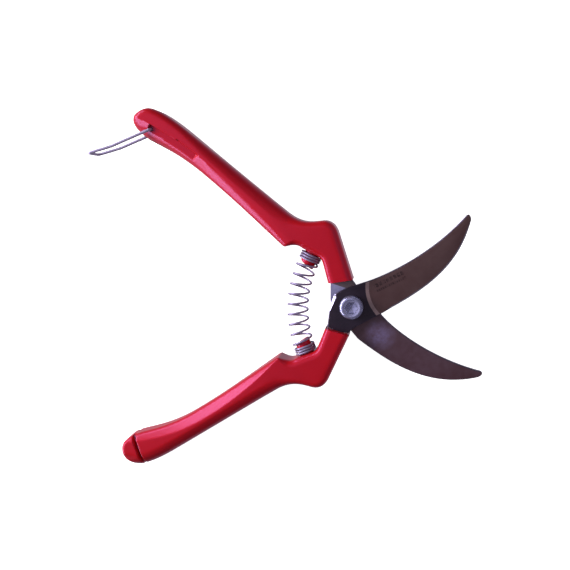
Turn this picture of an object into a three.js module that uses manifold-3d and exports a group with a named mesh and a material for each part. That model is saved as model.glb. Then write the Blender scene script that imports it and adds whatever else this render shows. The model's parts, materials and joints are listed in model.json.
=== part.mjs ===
// Bypass pruning shears with moulded grips, a coil return spring and a wire clasp.
//
// Millimetres. The shears lie on their back on the plane z = 0, opened by the spring. +X points
// towards the blades, +Z towards the face of the cutting blade. The origin is the flat end of the
// pivot bolt, so the pivot axis is the Z axis.
//
// Each lever is drawn in a frame of its own: the pivot at the origin, the blade towards +X, the grip
// along -X, and the grip's outer side towards +Y. The front lever is the same drawing mirrored in Y.

import * as THREE from 'three';
import { mergeVertices } from 'three/addons/utils/BufferGeometryUtils.js';
import Module from 'manifold-3d';

const wasm = await Module();
wasm.setup();

const DEG = Math.PI / 180;

// ---------------------------------------------------------------- driving dimensions

// Angles at rest, measured about the pivot from +X.
const REAR_GRIP_ANGLE = 141.2;
const FRONT_GRIP_ANGLE = 212.5;
const REAR_BLADE_ANGLE = -26;
const FRONT_BLADE_ANGLE = 39.5;
const CLOSING_ANGLE = 65.5; // how far the rear lever turns until the spring posts meet

// Grips.
const GRIP_REACH = 142.9; // pivot axis to the far end
const GRIP_THICKNESS = 16;
const GRIP_OUTER_Y = 16.1; // outer edge of the straight handle, from the pivot axis
const HANDLE_WIDTH = 11.9;
const GRIP_ROUNDING = 2; // edge rounding all round
const UPPER_HEEL = 4.2; // how far each grip's end swells inwards of the handle's inner edge
const LOWER_HEEL = 6.2;
const HUMP_HEIGHT = 10; // the knuckle stop's height above the handle's outer edge
const FINGER_FLAT_RADIUS = 136; // ridge between the front face and the sloping finger flat
const FINGER_FLAT_WIDTH = 5; // the flat's width in plan at its middle
const FINGER_FLAT_DEPTH = 4; // how far it falls from the face to the inner side

// Spring posts, moulded on the grips.
const POST_RADIUS = 3.8;
const POST_LEAN = 11.5; // degrees from square to the handle, towards the pivot
const STOP_CLEARANCE = 0.15; // left at each post's tip when the shears are closed

// Blades and their tangs.
const PLATE_THICKNESS = 3;
const PLATE_GAP = 0.3; // between the two blades
const BLADE_REACH = 70; // pivot axis to where the tip starts to round off
const BLADE_WIDTH = 13.7;
const TIP_ROUNDING = 1.9;
const TANG_WIDTH = 6;
const TANG_INSET = 24.9; // from the end of the tang to the end of the grip
const TANG_CLEARANCE = 0.3;
const PLATE_INSET = 0.7; // how far the plate's sides stand in from the neck's
const GRIND_RADIUS = 20; // arc where the cutting blade's ground face begins
const GRIND_DEPTH = 0.5;

// Pivot.
const BOLT_RADIUS = 2.5;
const HEAD_RADIUS = 5.85;
const HEAD_HEIGHT = 3.4;
const SOCKET_ACROSS_FLATS = 5.5;
const SOCKET_DEPTH = 1.9;
const BUSH_RADIUS = 4;
const RUNNING_CLEARANCE = 0.15; // radial, bolt in bush and bush in blades
const STACK_GAP = 0.2; // between pieces that bear on one another along the pivot
const THRUST_WASHER_RADIUS = 7;
const THRUST_WASHER_THICKNESS = 0.8;
const WAVE_WASHER_RADIUS = 5.4;
const WAVE_WASHER_THICKNESS = 0.4;
const WAVE_HEIGHT = 0.15;
const WAVE_COUNT = 3;
const NUT_ACROSS_FLATS = 8;
const BOLT_END_PROUD = 0.3;

// Return spring.
const SPRING_WIRE_RADIUS = 0.45;
const SPRING_CLEARANCE = 0.7; // between the coils and the post inside them
const SPRING_CLOSED_TURNS = 2.75; // at each end
const SPRING_CLOSED_PITCH = 1.25;
const SPRING_OPEN_TURNS = 9;
const SPRING_BOW = 18; // length of the axis curve's end tangents
const SPRING_SEAT_GAP = 0.35;

// Wire clasp.
const CLASP_WIRE_RADIUS = 0.75;
const CLASP_REACH = 34.5; // hole axis to the closed end's wire centre
const CLASP_HALF_GAP = 6.2; // from the shears' middle plane to each leg's wire centre
const CLASP_KNEE = 22; // from the hole axis to the bend in the legs
const CLASP_KNEE_DROP = 0.9;
const CLASP_CORNER = 3;
const CLASP_FOOT = 4; // length of each inturned end
const CLASP_REST_ANGLE = 199.2; // measured about the hole from +X
const CLASP_CLEARANCE = 0.3;
const CLASP_HOLE_INSET = 10.9; // from the hole axis to the grip's far end
const CLASP_HOLE_RISE = 1.2; // from the handle's inner edge

// ---------------------------------------------------------------- derived places

const MID_Z = GRIP_THICKNESS / 2;
const REAR_PLATE = [MID_Z - PLATE_GAP / 2 - PLATE_THICKNESS, MID_Z - PLATE_GAP / 2];
const FRONT_PLATE = [MID_Z + PLATE_GAP / 2, MID_Z + PLATE_GAP / 2 + PLATE_THICKNESS];
const GRIP_INNER_Y = GRIP_OUTER_Y - HANDLE_WIDTH;
const TANG_REACH = GRIP_REACH - TANG_INSET;
const SPRING_RADIUS = POST_RADIUS + SPRING_CLEARANCE + SPRING_WIRE_RADIUS; // to the wire's centre
const CLASP_HOLE_X = CLASP_HOLE_INSET - GRIP_REACH;
const CLASP_HOLE_Y = GRIP_INNER_Y + CLASP_HOLE_RISE;
const STOP_ANGLE = (FRONT_GRIP_ANGLE - REAR_GRIP_ANGLE - CLOSING_ANGLE) / 2;

// The mouth of the neck, where the plate leaves the grip, and the seat under the spring.
const MOUTH_OUTER = [-7.9, 11];
const MOUTH_INNER = [-16.2, 2];
const SEAT_OUTER = [-37, 7.3];
const SEAT_INNER = [-26.4, 9.4];
const SEAT_CENTRE = [(SEAT_OUTER[0] + SEAT_INNER[0]) / 2, (SEAT_OUTER[1] + SEAT_INNER[1]) / 2];
const BEAK = [-44.4, 2];
const MOUTH_WIDTH = Math.hypot(MOUTH_OUTER[0] - MOUTH_INNER[0], MOUTH_OUTER[1] - MOUTH_INNER[1]);

const levers = {
  rear: {
    side: 1,
    turn: REAR_GRIP_ANGLE - 180,
    bladeTurn: REAR_BLADE_ANGLE - (REAR_GRIP_ANGLE - 180),
    plate: REAR_PLATE,
    bladeSweep: 1.7,
    heel: UPPER_HEEL,
  },
  front: {
    side: -1,
    turn: FRONT_GRIP_ANGLE - 180,
    bladeTurn: FRONT_BLADE_ANGLE - (FRONT_GRIP_ANGLE - 180),
    plate: FRONT_PLATE,
    bladeSweep: 0,
    heel: LOWER_HEEL,
  },
};

// ---------------------------------------------------------------- solids

function toSolid(geometry) {
  const bare = geometry.clone();
  bare.deleteAttribute('normal');
  bare.deleteAttribute('uv');
  const merged = mergeVertices(bare);
  return new wasm.Manifold(
    new wasm.Mesh({
      numProp: 3,
      vertProperties: Float32Array.from(merged.attributes.position.array),
      triVerts: Uint32Array.from(merged.index.array),
    })
  );
}

function toGeometry(solid) {
  const mesh = solid.getMesh();
  const geometry = new THREE.BufferGeometry();
  geometry.setAttribute('position', new THREE.BufferAttribute(mesh.vertProperties, 3));
  geometry.setIndex(new THREE.BufferAttribute(mesh.triVerts, 1));
  geometry.computeVertexNormals();
  return geometry;
}

function subtract(geometry, ...tools) {
  return toGeometry(tools.reduce((body, tool) => body.subtract(toSolid(tool)), toSolid(geometry)));
}

function join(geometry, ...others) {
  return toGeometry(others.reduce((body, other) => body.add(toSolid(other)), toSolid(geometry)));
}

// A prism between two heights, its edges rounded inwards when rounding is given.
function prism(points, [low, high], rounding = 0) {
  const geometry = new THREE.ExtrudeGeometry(new THREE.Shape(points), {
    depth: high - low - 2 * rounding,
    bevelEnabled: rounding > 0,
    bevelThickness: rounding,
    bevelSize: rounding,
    bevelOffset: -rounding,
    bevelSegments: 2,
  });
  return geometry.translate(0, 0, low + rounding);
}

// A solid of revolution about Z from [radius, height] pairs.
function turned(profile, segments = 48) {
  const points = profile.map(([radius, height]) => new THREE.Vector2(radius, height));
  return new THREE.LatheGeometry(points, segments).rotateX(Math.PI / 2);
}

function cylinder(radius, low, high, sides = 32) {
  const geometry = new THREE.CylinderGeometry(radius, radius, high - low, sides);
  return geometry.rotateX(Math.PI / 2).translate(0, 0, (low + high) / 2);
}

function ring(inner, outer, low, high) {
  return turned([
    [inner, low],
    [outer, low],
    [outer, high],
    [inner, high],
    [inner, low],
  ]);
}

// A round wire along a curve. A full turn of the section has two points for each curve segment.
function wire(curve, radius, steps, sides) {
  const section = new THREE.Shape();
  section.absarc(0, 0, radius, 0, 2 * Math.PI);
  return new THREE.ExtrudeGeometry(section, {
    steps,
    curveSegments: sides / 2,
    bevelEnabled: false,
    extrudePath: curve,
  });
}

function turnPoint([x, y], degrees) {
  const c = Math.cos(degrees * DEG);
  const s = Math.sin(degrees * DEG);
  return [x * c - y * s, x * s + y * c];
}

// Points of a path drawn in the lever frame, mirrored for the front lever.
function leverPoints(path, lever, divisions) {
  return path.getPoints(divisions).map((p) => new THREE.Vector2(p.x, lever.side * p.y));
}

// ---------------------------------------------------------------- grips

// Outline of a grip: up the neck, over the knuckle stop, along the outer edge, round the end, back
// along the inner edge to the beak, and up to the flat seat under the spring.
function gripPath(lever) {
  const outer = GRIP_OUTER_Y;
  const inner = GRIP_INNER_Y;
  const heel = inner - lever.heel;
  const end = -GRIP_REACH;
  const path = new THREE.Path();
  path.moveTo(...MOUTH_OUTER);
  path.lineTo(-28, outer + HUMP_HEIGHT - 2);
  path.bezierCurveTo(-32, outer + HUMP_HEIGHT + 0.6, -35.4, outer + HUMP_HEIGHT + 0.2, -38, 23.6);
  path.bezierCurveTo(-42, 19.5, -45, outer, -54, outer);
  path.lineTo(end + 26, outer);
  path.bezierCurveTo(end + 16, outer, end + 10, outer - 0.8, end + 6.4, outer - 1.9);
  path.bezierCurveTo(end + 2.2, outer - 3.2, end, outer - 6.6, end, inner + 1);
  path.bezierCurveTo(end, inner - 2.6, end + 3, heel, end + 8, heel);
  path.bezierCurveTo(end + 16, heel, end + 24, inner, end + 46, inner);
  path.bezierCurveTo(end + 66, inner, -66, inner - 1.1, ...BEAK);
  path.lineTo(-41.6, 5.4);
  path.lineTo(-39.5, 7);
  path.lineTo(...SEAT_OUTER);
  path.lineTo(...SEAT_INNER);
  path.lineTo(...MOUTH_INNER);
  return path;
}

// Centre line of the tang, from the mouth of the neck over the bend into the handle.
function tangPath() {
  const centreY = (GRIP_OUTER_Y + GRIP_INNER_Y) / 2;
  const path = new THREE.Path();
  path.moveTo((MOUTH_OUTER[0] + MOUTH_INNER[0]) / 2, (MOUTH_OUTER[1] + MOUTH_INNER[1]) / 2);
  path.lineTo(-25, 15.3);
  path.bezierCurveTo(-30.5, 19, -35, 18.6, -39.5, 15);
  path.bezierCurveTo(-45, 10.8, -49, centreY, -56, centreY);
  path.lineTo(-TANG_REACH, centreY);
  return path;
}

// The two sides of a band along a path, the second in reverse, so that together they run round it.
function bandSides(path, halfWidth, stations) {
  const left = [];
  const right = [];
  for (let i = 0; i <= stations; i += 1) {
    const at = path.getPointAt(i / stations);
    const along = path.getTangentAt(i / stations);
    left.push([at.x - along.y * halfWidth, at.y + along.x * halfWidth]);
    right.push([at.x + along.y * halfWidth, at.y - along.x * halfWidth]);
  }
  return { left, right: right.reverse() };
}

// The tang's pocket, open at the mouth of the neck.
function tangPocket(lever) {
  const path = tangPath();
  const { left, right } = bandSides(path, TANG_WIDTH / 2 + TANG_CLEARANCE, 26);
  const reachOut = 3;
  const far = -TANG_REACH - TANG_CLEARANCE;
  left[left.length - 1][0] = far;
  right[0][0] = far;
  const along = path.getTangentAt(0);
  const before = ([x, y]) => [x - along.x * reachOut, y - along.y * reachOut];
  const points = [before(left[0]), ...left, ...right, before(right[right.length - 1])];
  const [low, high] = lever.plate;
  return prism(
    points.map(([x, y]) => new THREE.Vector2(x, lever.side * y)),
    [low - TANG_CLEARANCE, high + TANG_CLEARANCE]
  );
}

// The cone that slopes the finger flat, on the front face or turned over for the back.
function fingerFlat(lever, face) {
  const middleX = -87;
  const ridgeY = GRIP_INNER_Y + FINGER_FLAT_WIDTH;
  const slope = FINGER_FLAT_WIDTH / FINGER_FLAT_DEPTH;
  const rise = 1;
  const foot = FINGER_FLAT_RADIUS - FINGER_FLAT_WIDTH;
  const cone = turned(
    [
      [0, -FINGER_FLAT_DEPTH],
      [foot, -FINGER_FLAT_DEPTH],
      [FINGER_FLAT_RADIUS + rise * slope, rise],
      [0, rise],
    ],
    96
  );
  if (face < 0) cone.rotateX(Math.PI);
  return cone.translate(middleX, lever.side * (ridgeY - FINGER_FLAT_RADIUS), MID_Z * (1 + face));
}

// A point of the spring's axis, at a distance from the middle of the seat, in the lever frame.
function postPoint(distance) {
  const lean = (POST_LEAN - 90) * DEG;
  return [SEAT_CENTRE[0] + Math.cos(lean) * distance, SEAT_CENTRE[1] + Math.sin(lean) * distance];
}

// A spring post, standing on the seat and cut off along the plane that it meets when closed.
function springPost(lever) {
  const sunk = 2;
  const length = 16;
  const [x, y] = postPoint(length / 2 - sunk);
  const post = new THREE.CylinderGeometry(POST_RADIUS, POST_RADIUS, length, 24);
  post.rotateZ(lever.side * POST_LEAN * DEG).translate(x, lever.side * y, MID_Z);
  const size = 60;
  const beyond = new THREE.BoxGeometry(size, size, size);
  beyond.translate(SEAT_CENTRE[0], lever.side * (STOP_CLEARANCE - size / 2), 0);
  return subtract(post, beyond.rotateZ(lever.side * STOP_ANGLE * DEG));
}

// The shelf along the upper grip's inner edge that takes one leg of the stowed clasp.
function claspShelf(face) {
  const floor = CLASP_HALF_GAP - CLASP_WIRE_RADIUS - CLASP_CLEARANCE;
  const points = [
    [CLASP_HOLE_X - 9, CLASP_HOLE_Y - 10],
    [CLASP_HOLE_X - 3.4, CLASP_HOLE_Y + 1.6],
    [CLASP_HOLE_X + 27, CLASP_HOLE_Y + 4.3],
    [CLASP_HOLE_X + 28.5, CLASP_HOLE_Y + 1],
    [CLASP_HOLE_X + CLASP_REACH + 2, CLASP_HOLE_Y - 1],
    [CLASP_HOLE_X + CLASP_REACH + 2, CLASP_HOLE_Y - 10],
  ].map(([x, y]) => new THREE.Vector2(x, y));
  const heights = face > 0 ? [MID_Z + floor, GRIP_THICKNESS + 1] : [-1, MID_Z - floor];
  return prism(points, heights);
}

// The groove across one face of the lower grip that a leg of the fastened clasp drops into.
function latchGroove(lever, face) {
  const half = CLASP_WIRE_RADIUS + CLASP_CLEARANCE;
  const floor = CLASP_HALF_GAP - CLASP_WIRE_RADIUS - CLASP_CLEARANCE;
  const slant = 0.2;
  const points = [
    [CLASP_HOLE_X - half, -6],
    [CLASP_HOLE_X - half - slant * 26, 20],
    [CLASP_HOLE_X + half - slant * 26, 20],
    [CLASP_HOLE_X + half, -6],
  ].map(([x, y]) => new THREE.Vector2(x, lever.side * y));
  const heights = face > 0 ? [MID_Z + floor, GRIP_THICKNESS + 1] : [-1, MID_Z - floor];
  return prism(points, heights);
}

function gripBody(lever) {
  const points = leverPoints(gripPath(lever), lever, 10);
  const body = prism(points, [0, GRIP_THICKNESS], GRIP_ROUNDING);
  const cut = subtract(body, tangPocket(lever), fingerFlat(lever, 1), fingerFlat(lever, -1));
  return join(cut, springPost(lever));
}

function upperGrip() {
  const hole = cylinder(CLASP_WIRE_RADIUS + CLASP_CLEARANCE, -1, GRIP_THICKNESS + 1, 16);
  hole.translate(CLASP_HOLE_X, CLASP_HOLE_Y, 0);
  return subtract(gripBody(levers.rear), claspShelf(1), claspShelf(-1), hole);
}

function lowerGrip() {
  const lever = levers.front;
  return subtract(gripBody(lever), latchGroove(lever, 1), latchGroove(lever, -1));
}

// ---------------------------------------------------------------- blades

// The two edges of a blade in its own frame, from the plate to the rounded tip. The concave edge is
// towards +Y.
function bladeEdges(lever) {
  const sweep = lever.bladeSweep;
  const reach = BLADE_REACH;
  const back = 2 - BLADE_WIDTH;
  const concave = new THREE.CubicBezierCurve(
    new THREE.Vector2(12, 5.8 - sweep),
    new THREE.Vector2(0.3 * reach, 2 - 1.8 * sweep),
    new THREE.Vector2(0.65 * reach, -4 - sweep),
    new THREE.Vector2(reach, 0.4 - 0.35 * sweep)
  );
  const convex = new THREE.CubicBezierCurve(
    new THREE.Vector2(10, back - 0.95 * sweep),
    new THREE.Vector2(0.385 * reach, back - 2.6 - 1.25 * sweep),
    new THREE.Vector2(0.72 * reach, back - 7.1 - 0.95 * sweep),
    new THREE.Vector2(reach, 0.4 - 1.75 * TIP_ROUNDING - 0.38 * sweep)
  );
  const tip = new THREE.QuadraticBezierCurve(
    concave.v3,
    new THREE.Vector2(reach + 2 * TIP_ROUNDING, (concave.v3.y + convex.v3.y) / 2 + 0.6),
    convex.v3
  );
  return { concave, convex, tip };
}

function bladePoints(curve, lever, divisions) {
  return curve.getPoints(divisions).map((p) => turnPoint([p.x, p.y], lever.bladeTurn));
}

// A point near the mouth of the neck: across it towards the grip's outer side, and out of it.
function mouthPoint(across, out) {
  const centre = [(MOUTH_OUTER[0] + MOUTH_INNER[0]) / 2, (MOUTH_OUTER[1] + MOUTH_INNER[1]) / 2];
  const dx = (MOUTH_OUTER[0] - MOUTH_INNER[0]) / MOUTH_WIDTH;
  const dy = (MOUTH_OUTER[1] - MOUTH_INNER[1]) / MOUTH_WIDTH;
  return [centre[0] + across * dx + out * dy, centre[1] + across * dy - out * dx];
}

// Outline of blade, plate and tang as one piece.
function bladeOutline(lever) {
  const { concave, convex, tip } = bladeEdges(lever);
  const y = (point) => lever.side * point[1];
  const edges = [
    ...bladePoints(concave, lever, 22),
    ...bladePoints(tip, lever, 6).slice(1, -1),
    ...bladePoints(convex, lever, 22).reverse(),
  ];
  // In the lever frame the front blade's convex edge is the one towards the grip's outer side.
  const blade = edges.map((point) => [point[0], y(point)]);
  if (lever.side < 0) blade.reverse();
  const { left, right } = bandSides(tangPath(), TANG_WIDTH / 2, 26);
  const outline = [
    mouthPoint(MOUTH_WIDTH / 2 - PLATE_INSET, TANG_CLEARANCE),
    [-4.4, 9.4],
    [1, 9.6],
    ...blade,
    [3.4, -9],
    [0.4, -9.5],
    [-3.4, -9.7],
    [-4.6, -9.2],
    [-10.2, -4.3],
    mouthPoint(PLATE_INSET - MOUTH_WIDTH / 2, TANG_CLEARANCE),
    mouthPoint(-TANG_WIDTH / 2, TANG_CLEARANCE),
    ...left.slice(1),
    ...right.slice(0, -1),
    mouthPoint(TANG_WIDTH / 2, TANG_CLEARANCE),
  ];
  return outline.map(([x, y0]) => new THREE.Vector2(x, lever.side * y0));
}

function blade(lever) {
  const hole = cylinder(BUSH_RADIUS + RUNNING_CLEARANCE, 0, GRIP_THICKNESS, 48);
  return subtract(prism(bladeOutline(lever), lever.plate), hole);
}

// The ground face of the cutting blade: everything beyond an arc, let down below the plate's face.
function groundFace() {
  const lever = levers.front;
  const centre = turnPoint([27, -9.2], lever.bladeTurn);
  const far = 60;
  const shape = new THREE.Shape();
  shape.moveTo(far, far);
  shape.lineTo(centre[0], far);
  shape.absarc(centre[0], centre[1], GRIND_RADIUS, 110 * DEG, 245 * DEG, false);
  shape.lineTo(centre[0], -far);
  shape.lineTo(far * 2, -far);
  shape.lineTo(far * 2, far);
  const top = lever.plate[1];
  return prism(shape.getPoints(16), [top - GRIND_DEPTH, top + 1]);
}

// ---------------------------------------------------------------- pivot

function pivotBolt() {
  const seat = FRONT_PLATE[1] + STACK_GAP;
  const top = seat + HEAD_HEIGHT;
  const body = turned([
    [0, 0],
    [BOLT_RADIUS - 0.4, 0],
    [BOLT_RADIUS, 0.4],
    [BOLT_RADIUS, seat],
    [HEAD_RADIUS - 0.2, seat],
    [HEAD_RADIUS, seat + 0.3],
    [HEAD_RADIUS, seat + 0.45 * HEAD_HEIGHT],
    [HEAD_RADIUS - 0.5, seat + 0.72 * HEAD_HEIGHT],
    [HEAD_RADIUS - 1.3, seat + 0.9 * HEAD_HEIGHT],
    [HEAD_RADIUS - 2.4, top],
    [0, top],
  ]);
  const socketRadius = SOCKET_ACROSS_FLATS / Math.sqrt(3);
  const socket = cylinder(socketRadius, top - SOCKET_DEPTH, top + 1, 6);
  return subtract(body, socket);
}

function pivotBush() {
  return ring(BOLT_RADIUS + RUNNING_CLEARANCE, BUSH_RADIUS, REAR_PLATE[0], FRONT_PLATE[1]);
}

const thrustTop = REAR_PLATE[0] - STACK_GAP;
const waveMiddle =
  thrustTop - THRUST_WASHER_THICKNESS - STACK_GAP - WAVE_WASHER_THICKNESS / 2 - WAVE_HEIGHT;
const nutTop = waveMiddle - WAVE_HEIGHT - WAVE_WASHER_THICKNESS / 2 - STACK_GAP;

function thrustWasher() {
  const bore = BOLT_RADIUS + RUNNING_CLEARANCE;
  return ring(bore, THRUST_WASHER_RADIUS, thrustTop - THRUST_WASHER_THICKNESS, thrustTop);
}

function waveWasher() {
  const half = WAVE_WASHER_THICKNESS / 2;
  const geometry = ring(BOLT_RADIUS + RUNNING_CLEARANCE, WAVE_WASHER_RADIUS, -half, half);
  const position = geometry.attributes.position;
  for (let i = 0; i < position.count; i += 1) {
    const around = Math.atan2(position.getY(i), position.getX(i));
    position.setZ(i, position.getZ(i) + WAVE_HEIGHT * Math.cos(WAVE_COUNT * around));
  }
  return geometry.translate(0, 0, waveMiddle);
}

function pivotNut() {
  const corner = NUT_ACROSS_FLATS / Math.sqrt(3);
  const body = cylinder(corner, BOLT_END_PROUD, nutTop, 6);
  return subtract(body, cylinder(BOLT_RADIUS + RUNNING_CLEARANCE, -1, nutTop + 1, 32));
}

// ---------------------------------------------------------------- return spring

// A helix about a bowed axis, close-wound at both ends.
class SpringCurve extends THREE.Curve {
  constructor(axis) {
    super();
    this.axis = axis;
    this.length = axis.getLength();
    this.turns = 2 * SPRING_CLOSED_TURNS + SPRING_OPEN_TURNS;
    this.closed = SPRING_CLOSED_TURNS * SPRING_CLOSED_PITCH;
  }

  // Distance along the axis after a number of turns.
  advance(turn) {
    const open = (this.length - 2 * this.closed) / SPRING_OPEN_TURNS;
    if (turn < SPRING_CLOSED_TURNS) return turn * SPRING_CLOSED_PITCH;
    const left = this.turns - turn;
    if (left < SPRING_CLOSED_TURNS) return this.length - left * SPRING_CLOSED_PITCH;
    return this.closed + (turn - SPRING_CLOSED_TURNS) * open;
  }

  getPoint(t, target = new THREE.Vector3()) {
    const turn = t * this.turns;
    const u = this.advance(turn) / this.length;
    const centre = this.axis.getPointAt(u);
    const along = this.axis.getTangentAt(u);
    const angle = 2 * Math.PI * turn;
    const across = SPRING_RADIUS * Math.cos(angle);
    return target.set(
      centre.x - along.y * across,
      centre.y + along.x * across,
      MID_Z + SPRING_RADIUS * Math.sin(angle)
    );
  }
}

// A point and a direction of the lever frame, in the frame of the whole shears.
function toShears(lever, point) {
  return new THREE.Vector2(...turnPoint([point[0], lever.side * point[1]], lever.turn));
}

function returnSpring() {
  const start = SPRING_SEAT_GAP + SPRING_WIRE_RADIUS;
  const axis = new THREE.CubicBezierCurve(
    toShears(levers.rear, postPoint(start)),
    toShears(levers.rear, postPoint(start + SPRING_BOW)),
    toShears(levers.front, postPoint(start + SPRING_BOW)),
    toShears(levers.front, postPoint(start))
  );
  const curve = new SpringCurve(axis);
  return wire(curve, SPRING_WIRE_RADIUS, Math.round(curve.turns * 12), 6);
}

// ---------------------------------------------------------------- wire clasp

// Straight runs joined by round corners.
function bentWire(corners, radius) {
  const path = new THREE.CurvePath();
  let from = corners[0];
  for (let i = 1; i < corners.length - 1; i += 1) {
    const corner = corners[i];
    const back = corners[i - 1].clone().sub(corner).normalize().multiplyScalar(radius).add(corner);
    const onward = corners[i + 1].clone().sub(corner).normalize().multiplyScalar(radius).add(corner);
    path.add(new THREE.LineCurve3(from, back));
    path.add(new THREE.QuadraticBezierCurve3(back, corner, onward));
    from = onward;
  }
  path.add(new THREE.LineCurve3(from, corners[corners.length - 1]));
  return path;
}

// Drawn with the hole axis at the origin and the closed end along +X.
function wireClasp() {
  const gap = CLASP_HALF_GAP;
  const corners = [
    [0, 0, gap - CLASP_FOOT],
    [0, 0, gap],
    [CLASP_KNEE, CLASP_KNEE_DROP, gap],
    [CLASP_REACH, 0, gap],
    [CLASP_REACH, 0, -gap],
    [CLASP_KNEE, CLASP_KNEE_DROP, -gap],
    [0, 0, -gap],
    [0, 0, CLASP_FOOT - gap],
  ].map((corner) => new THREE.Vector3(...corner));
  return wire(bentWire(corners, CLASP_CORNER / 2), CLASP_WIRE_RADIUS, 96, 8);
}

// ---------------------------------------------------------------- materials

function material(color, roughness, metalness) {
  return new THREE.MeshStandardMaterial({ color, roughness, metalness });
}

const redGrip = () => material(0x9c1a1e, 0.35, 0);
const darkSteel = () => material(0x3a2c30, 0.4, 0.7);
const zincPlate = () => material(0xb4b4c8, 0.3, 0.9);

// ---------------------------------------------------------------- assembly

function named(name, geometry, finish) {
  const mesh = new THREE.Mesh(geometry, finish);
  mesh.name = name;
  return mesh;
}

const frontBlade = subtract(blade(levers.front), groundFace());

const frontLever = new THREE.Group();
frontLever.rotation.z = levers.front.turn * DEG;
frontLever.add(named('front_blade', frontBlade, darkSteel()));
frontLever.add(named('lower_grip', lowerGrip(), redGrip()));

const clasp = new THREE.Group();
clasp.position.set(CLASP_HOLE_X, CLASP_HOLE_Y, MID_Z);
clasp.rotation.z = (CLASP_REST_ANGLE - levers.rear.turn) * DEG;
clasp.add(named('wire_clasp', wireClasp(), zincPlate()));

const rearLever = new THREE.Group();
rearLever.rotation.z = levers.rear.turn * DEG;
rearLever.add(named('rear_blade', blade(levers.rear), darkSteel()));
rearLever.add(named('upper_grip', upperGrip(), redGrip()));
rearLever.add(clasp);

const pivot = new THREE.Group();
pivot.add(named('pivot_bolt', pivotBolt(), zincPlate()));
pivot.add(named('pivot_bush', pivotBush(), zincPlate()));
pivot.add(named('thrust_washer', thrustWasher(), zincPlate()));
pivot.add(named('wave_washer', waveWasher(), zincPlate()));
pivot.add(named('pivot_nut', pivotNut(), zincPlate()));

const shears = new THREE.Group();
shears.add(frontLever);
shears.add(rearLever);
shears.add(pivot);
shears.add(named('return_spring', returnSpring(), zincPlate()));

export default shears;
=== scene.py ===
"""Looks of a pair of bypass pruning shears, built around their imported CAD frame.

Each grip, blade, wire and pivot piece is a surface worked out with numpy in the frame of its own lever, in
millimetres: the pivot at the origin, the grip along -X, the grip's outer side towards +Y, and heights counted
from the shears' middle plane. A Lever turns those points into the row frame, in metres.
"""

import json
import logging
import math
from dataclasses import dataclass
from enum import Enum

import bmesh
import bpy
import numpy as np
from mathutils import Matrix, Vector
from mathutils.geometry import delaunay_2d_cdt


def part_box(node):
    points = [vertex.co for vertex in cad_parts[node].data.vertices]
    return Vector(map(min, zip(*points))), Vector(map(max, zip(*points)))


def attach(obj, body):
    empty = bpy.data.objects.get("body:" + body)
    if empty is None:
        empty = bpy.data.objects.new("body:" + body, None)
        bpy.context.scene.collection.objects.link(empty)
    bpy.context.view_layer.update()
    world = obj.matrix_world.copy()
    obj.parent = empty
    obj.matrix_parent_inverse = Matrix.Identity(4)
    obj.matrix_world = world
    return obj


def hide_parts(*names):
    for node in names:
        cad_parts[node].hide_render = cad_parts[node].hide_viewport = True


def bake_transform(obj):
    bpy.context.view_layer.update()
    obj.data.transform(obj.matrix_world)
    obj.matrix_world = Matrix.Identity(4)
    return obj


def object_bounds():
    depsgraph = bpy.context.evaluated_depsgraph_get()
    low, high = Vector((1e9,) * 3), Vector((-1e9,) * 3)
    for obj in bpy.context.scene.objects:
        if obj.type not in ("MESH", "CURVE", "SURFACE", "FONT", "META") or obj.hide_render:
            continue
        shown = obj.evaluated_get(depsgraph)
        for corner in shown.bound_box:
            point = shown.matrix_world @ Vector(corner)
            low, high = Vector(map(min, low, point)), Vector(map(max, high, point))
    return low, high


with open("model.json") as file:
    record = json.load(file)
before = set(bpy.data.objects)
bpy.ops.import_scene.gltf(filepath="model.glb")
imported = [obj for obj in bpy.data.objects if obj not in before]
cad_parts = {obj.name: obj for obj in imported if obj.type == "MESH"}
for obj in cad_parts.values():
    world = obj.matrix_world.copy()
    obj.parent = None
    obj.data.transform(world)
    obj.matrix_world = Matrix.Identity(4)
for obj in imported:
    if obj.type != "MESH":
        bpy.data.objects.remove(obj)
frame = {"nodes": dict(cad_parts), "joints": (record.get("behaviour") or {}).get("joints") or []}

CAD_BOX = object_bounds()
MM = 0.001
log = logging.getLogger("shears")

Array = np.ndarray
Point = tuple[float, float]
Colour = tuple[float, float, float]
Socket = bpy.types.NodeSocket


# ---------------------------------------------------------------- places taken from the frame


def joint(name: str) -> dict:
    """The frame's joint of that name.

    Args:
        name: its name.

    Returns:
        its entry in the frame.
    """
    return next(j for j in frame["joints"] if j["name"] == name)


def heights(node: str) -> tuple[float, float]:
    """A CAD node's lowest and highest points, in millimetres above the shears' middle plane.

    Args:
        node: the node's name.

    Returns:
        the lowest and the highest, in millimetres.
    """
    low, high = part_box(node)
    return low.z / MM - MID_Z, high.z / MM - MID_Z


MID_Z = joint("handle_pivot")["pos_m"][2] / MM
GRIP_HALF = heights("upper_grip")[1]
FRONT_PLATE = heights("front_blade")
REAR_PLATE = heights("rear_blade")


class Side(Enum):
    """Which of the two levers a piece belongs to."""

    REAR = 1.0
    FRONT = -1.0


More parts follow.
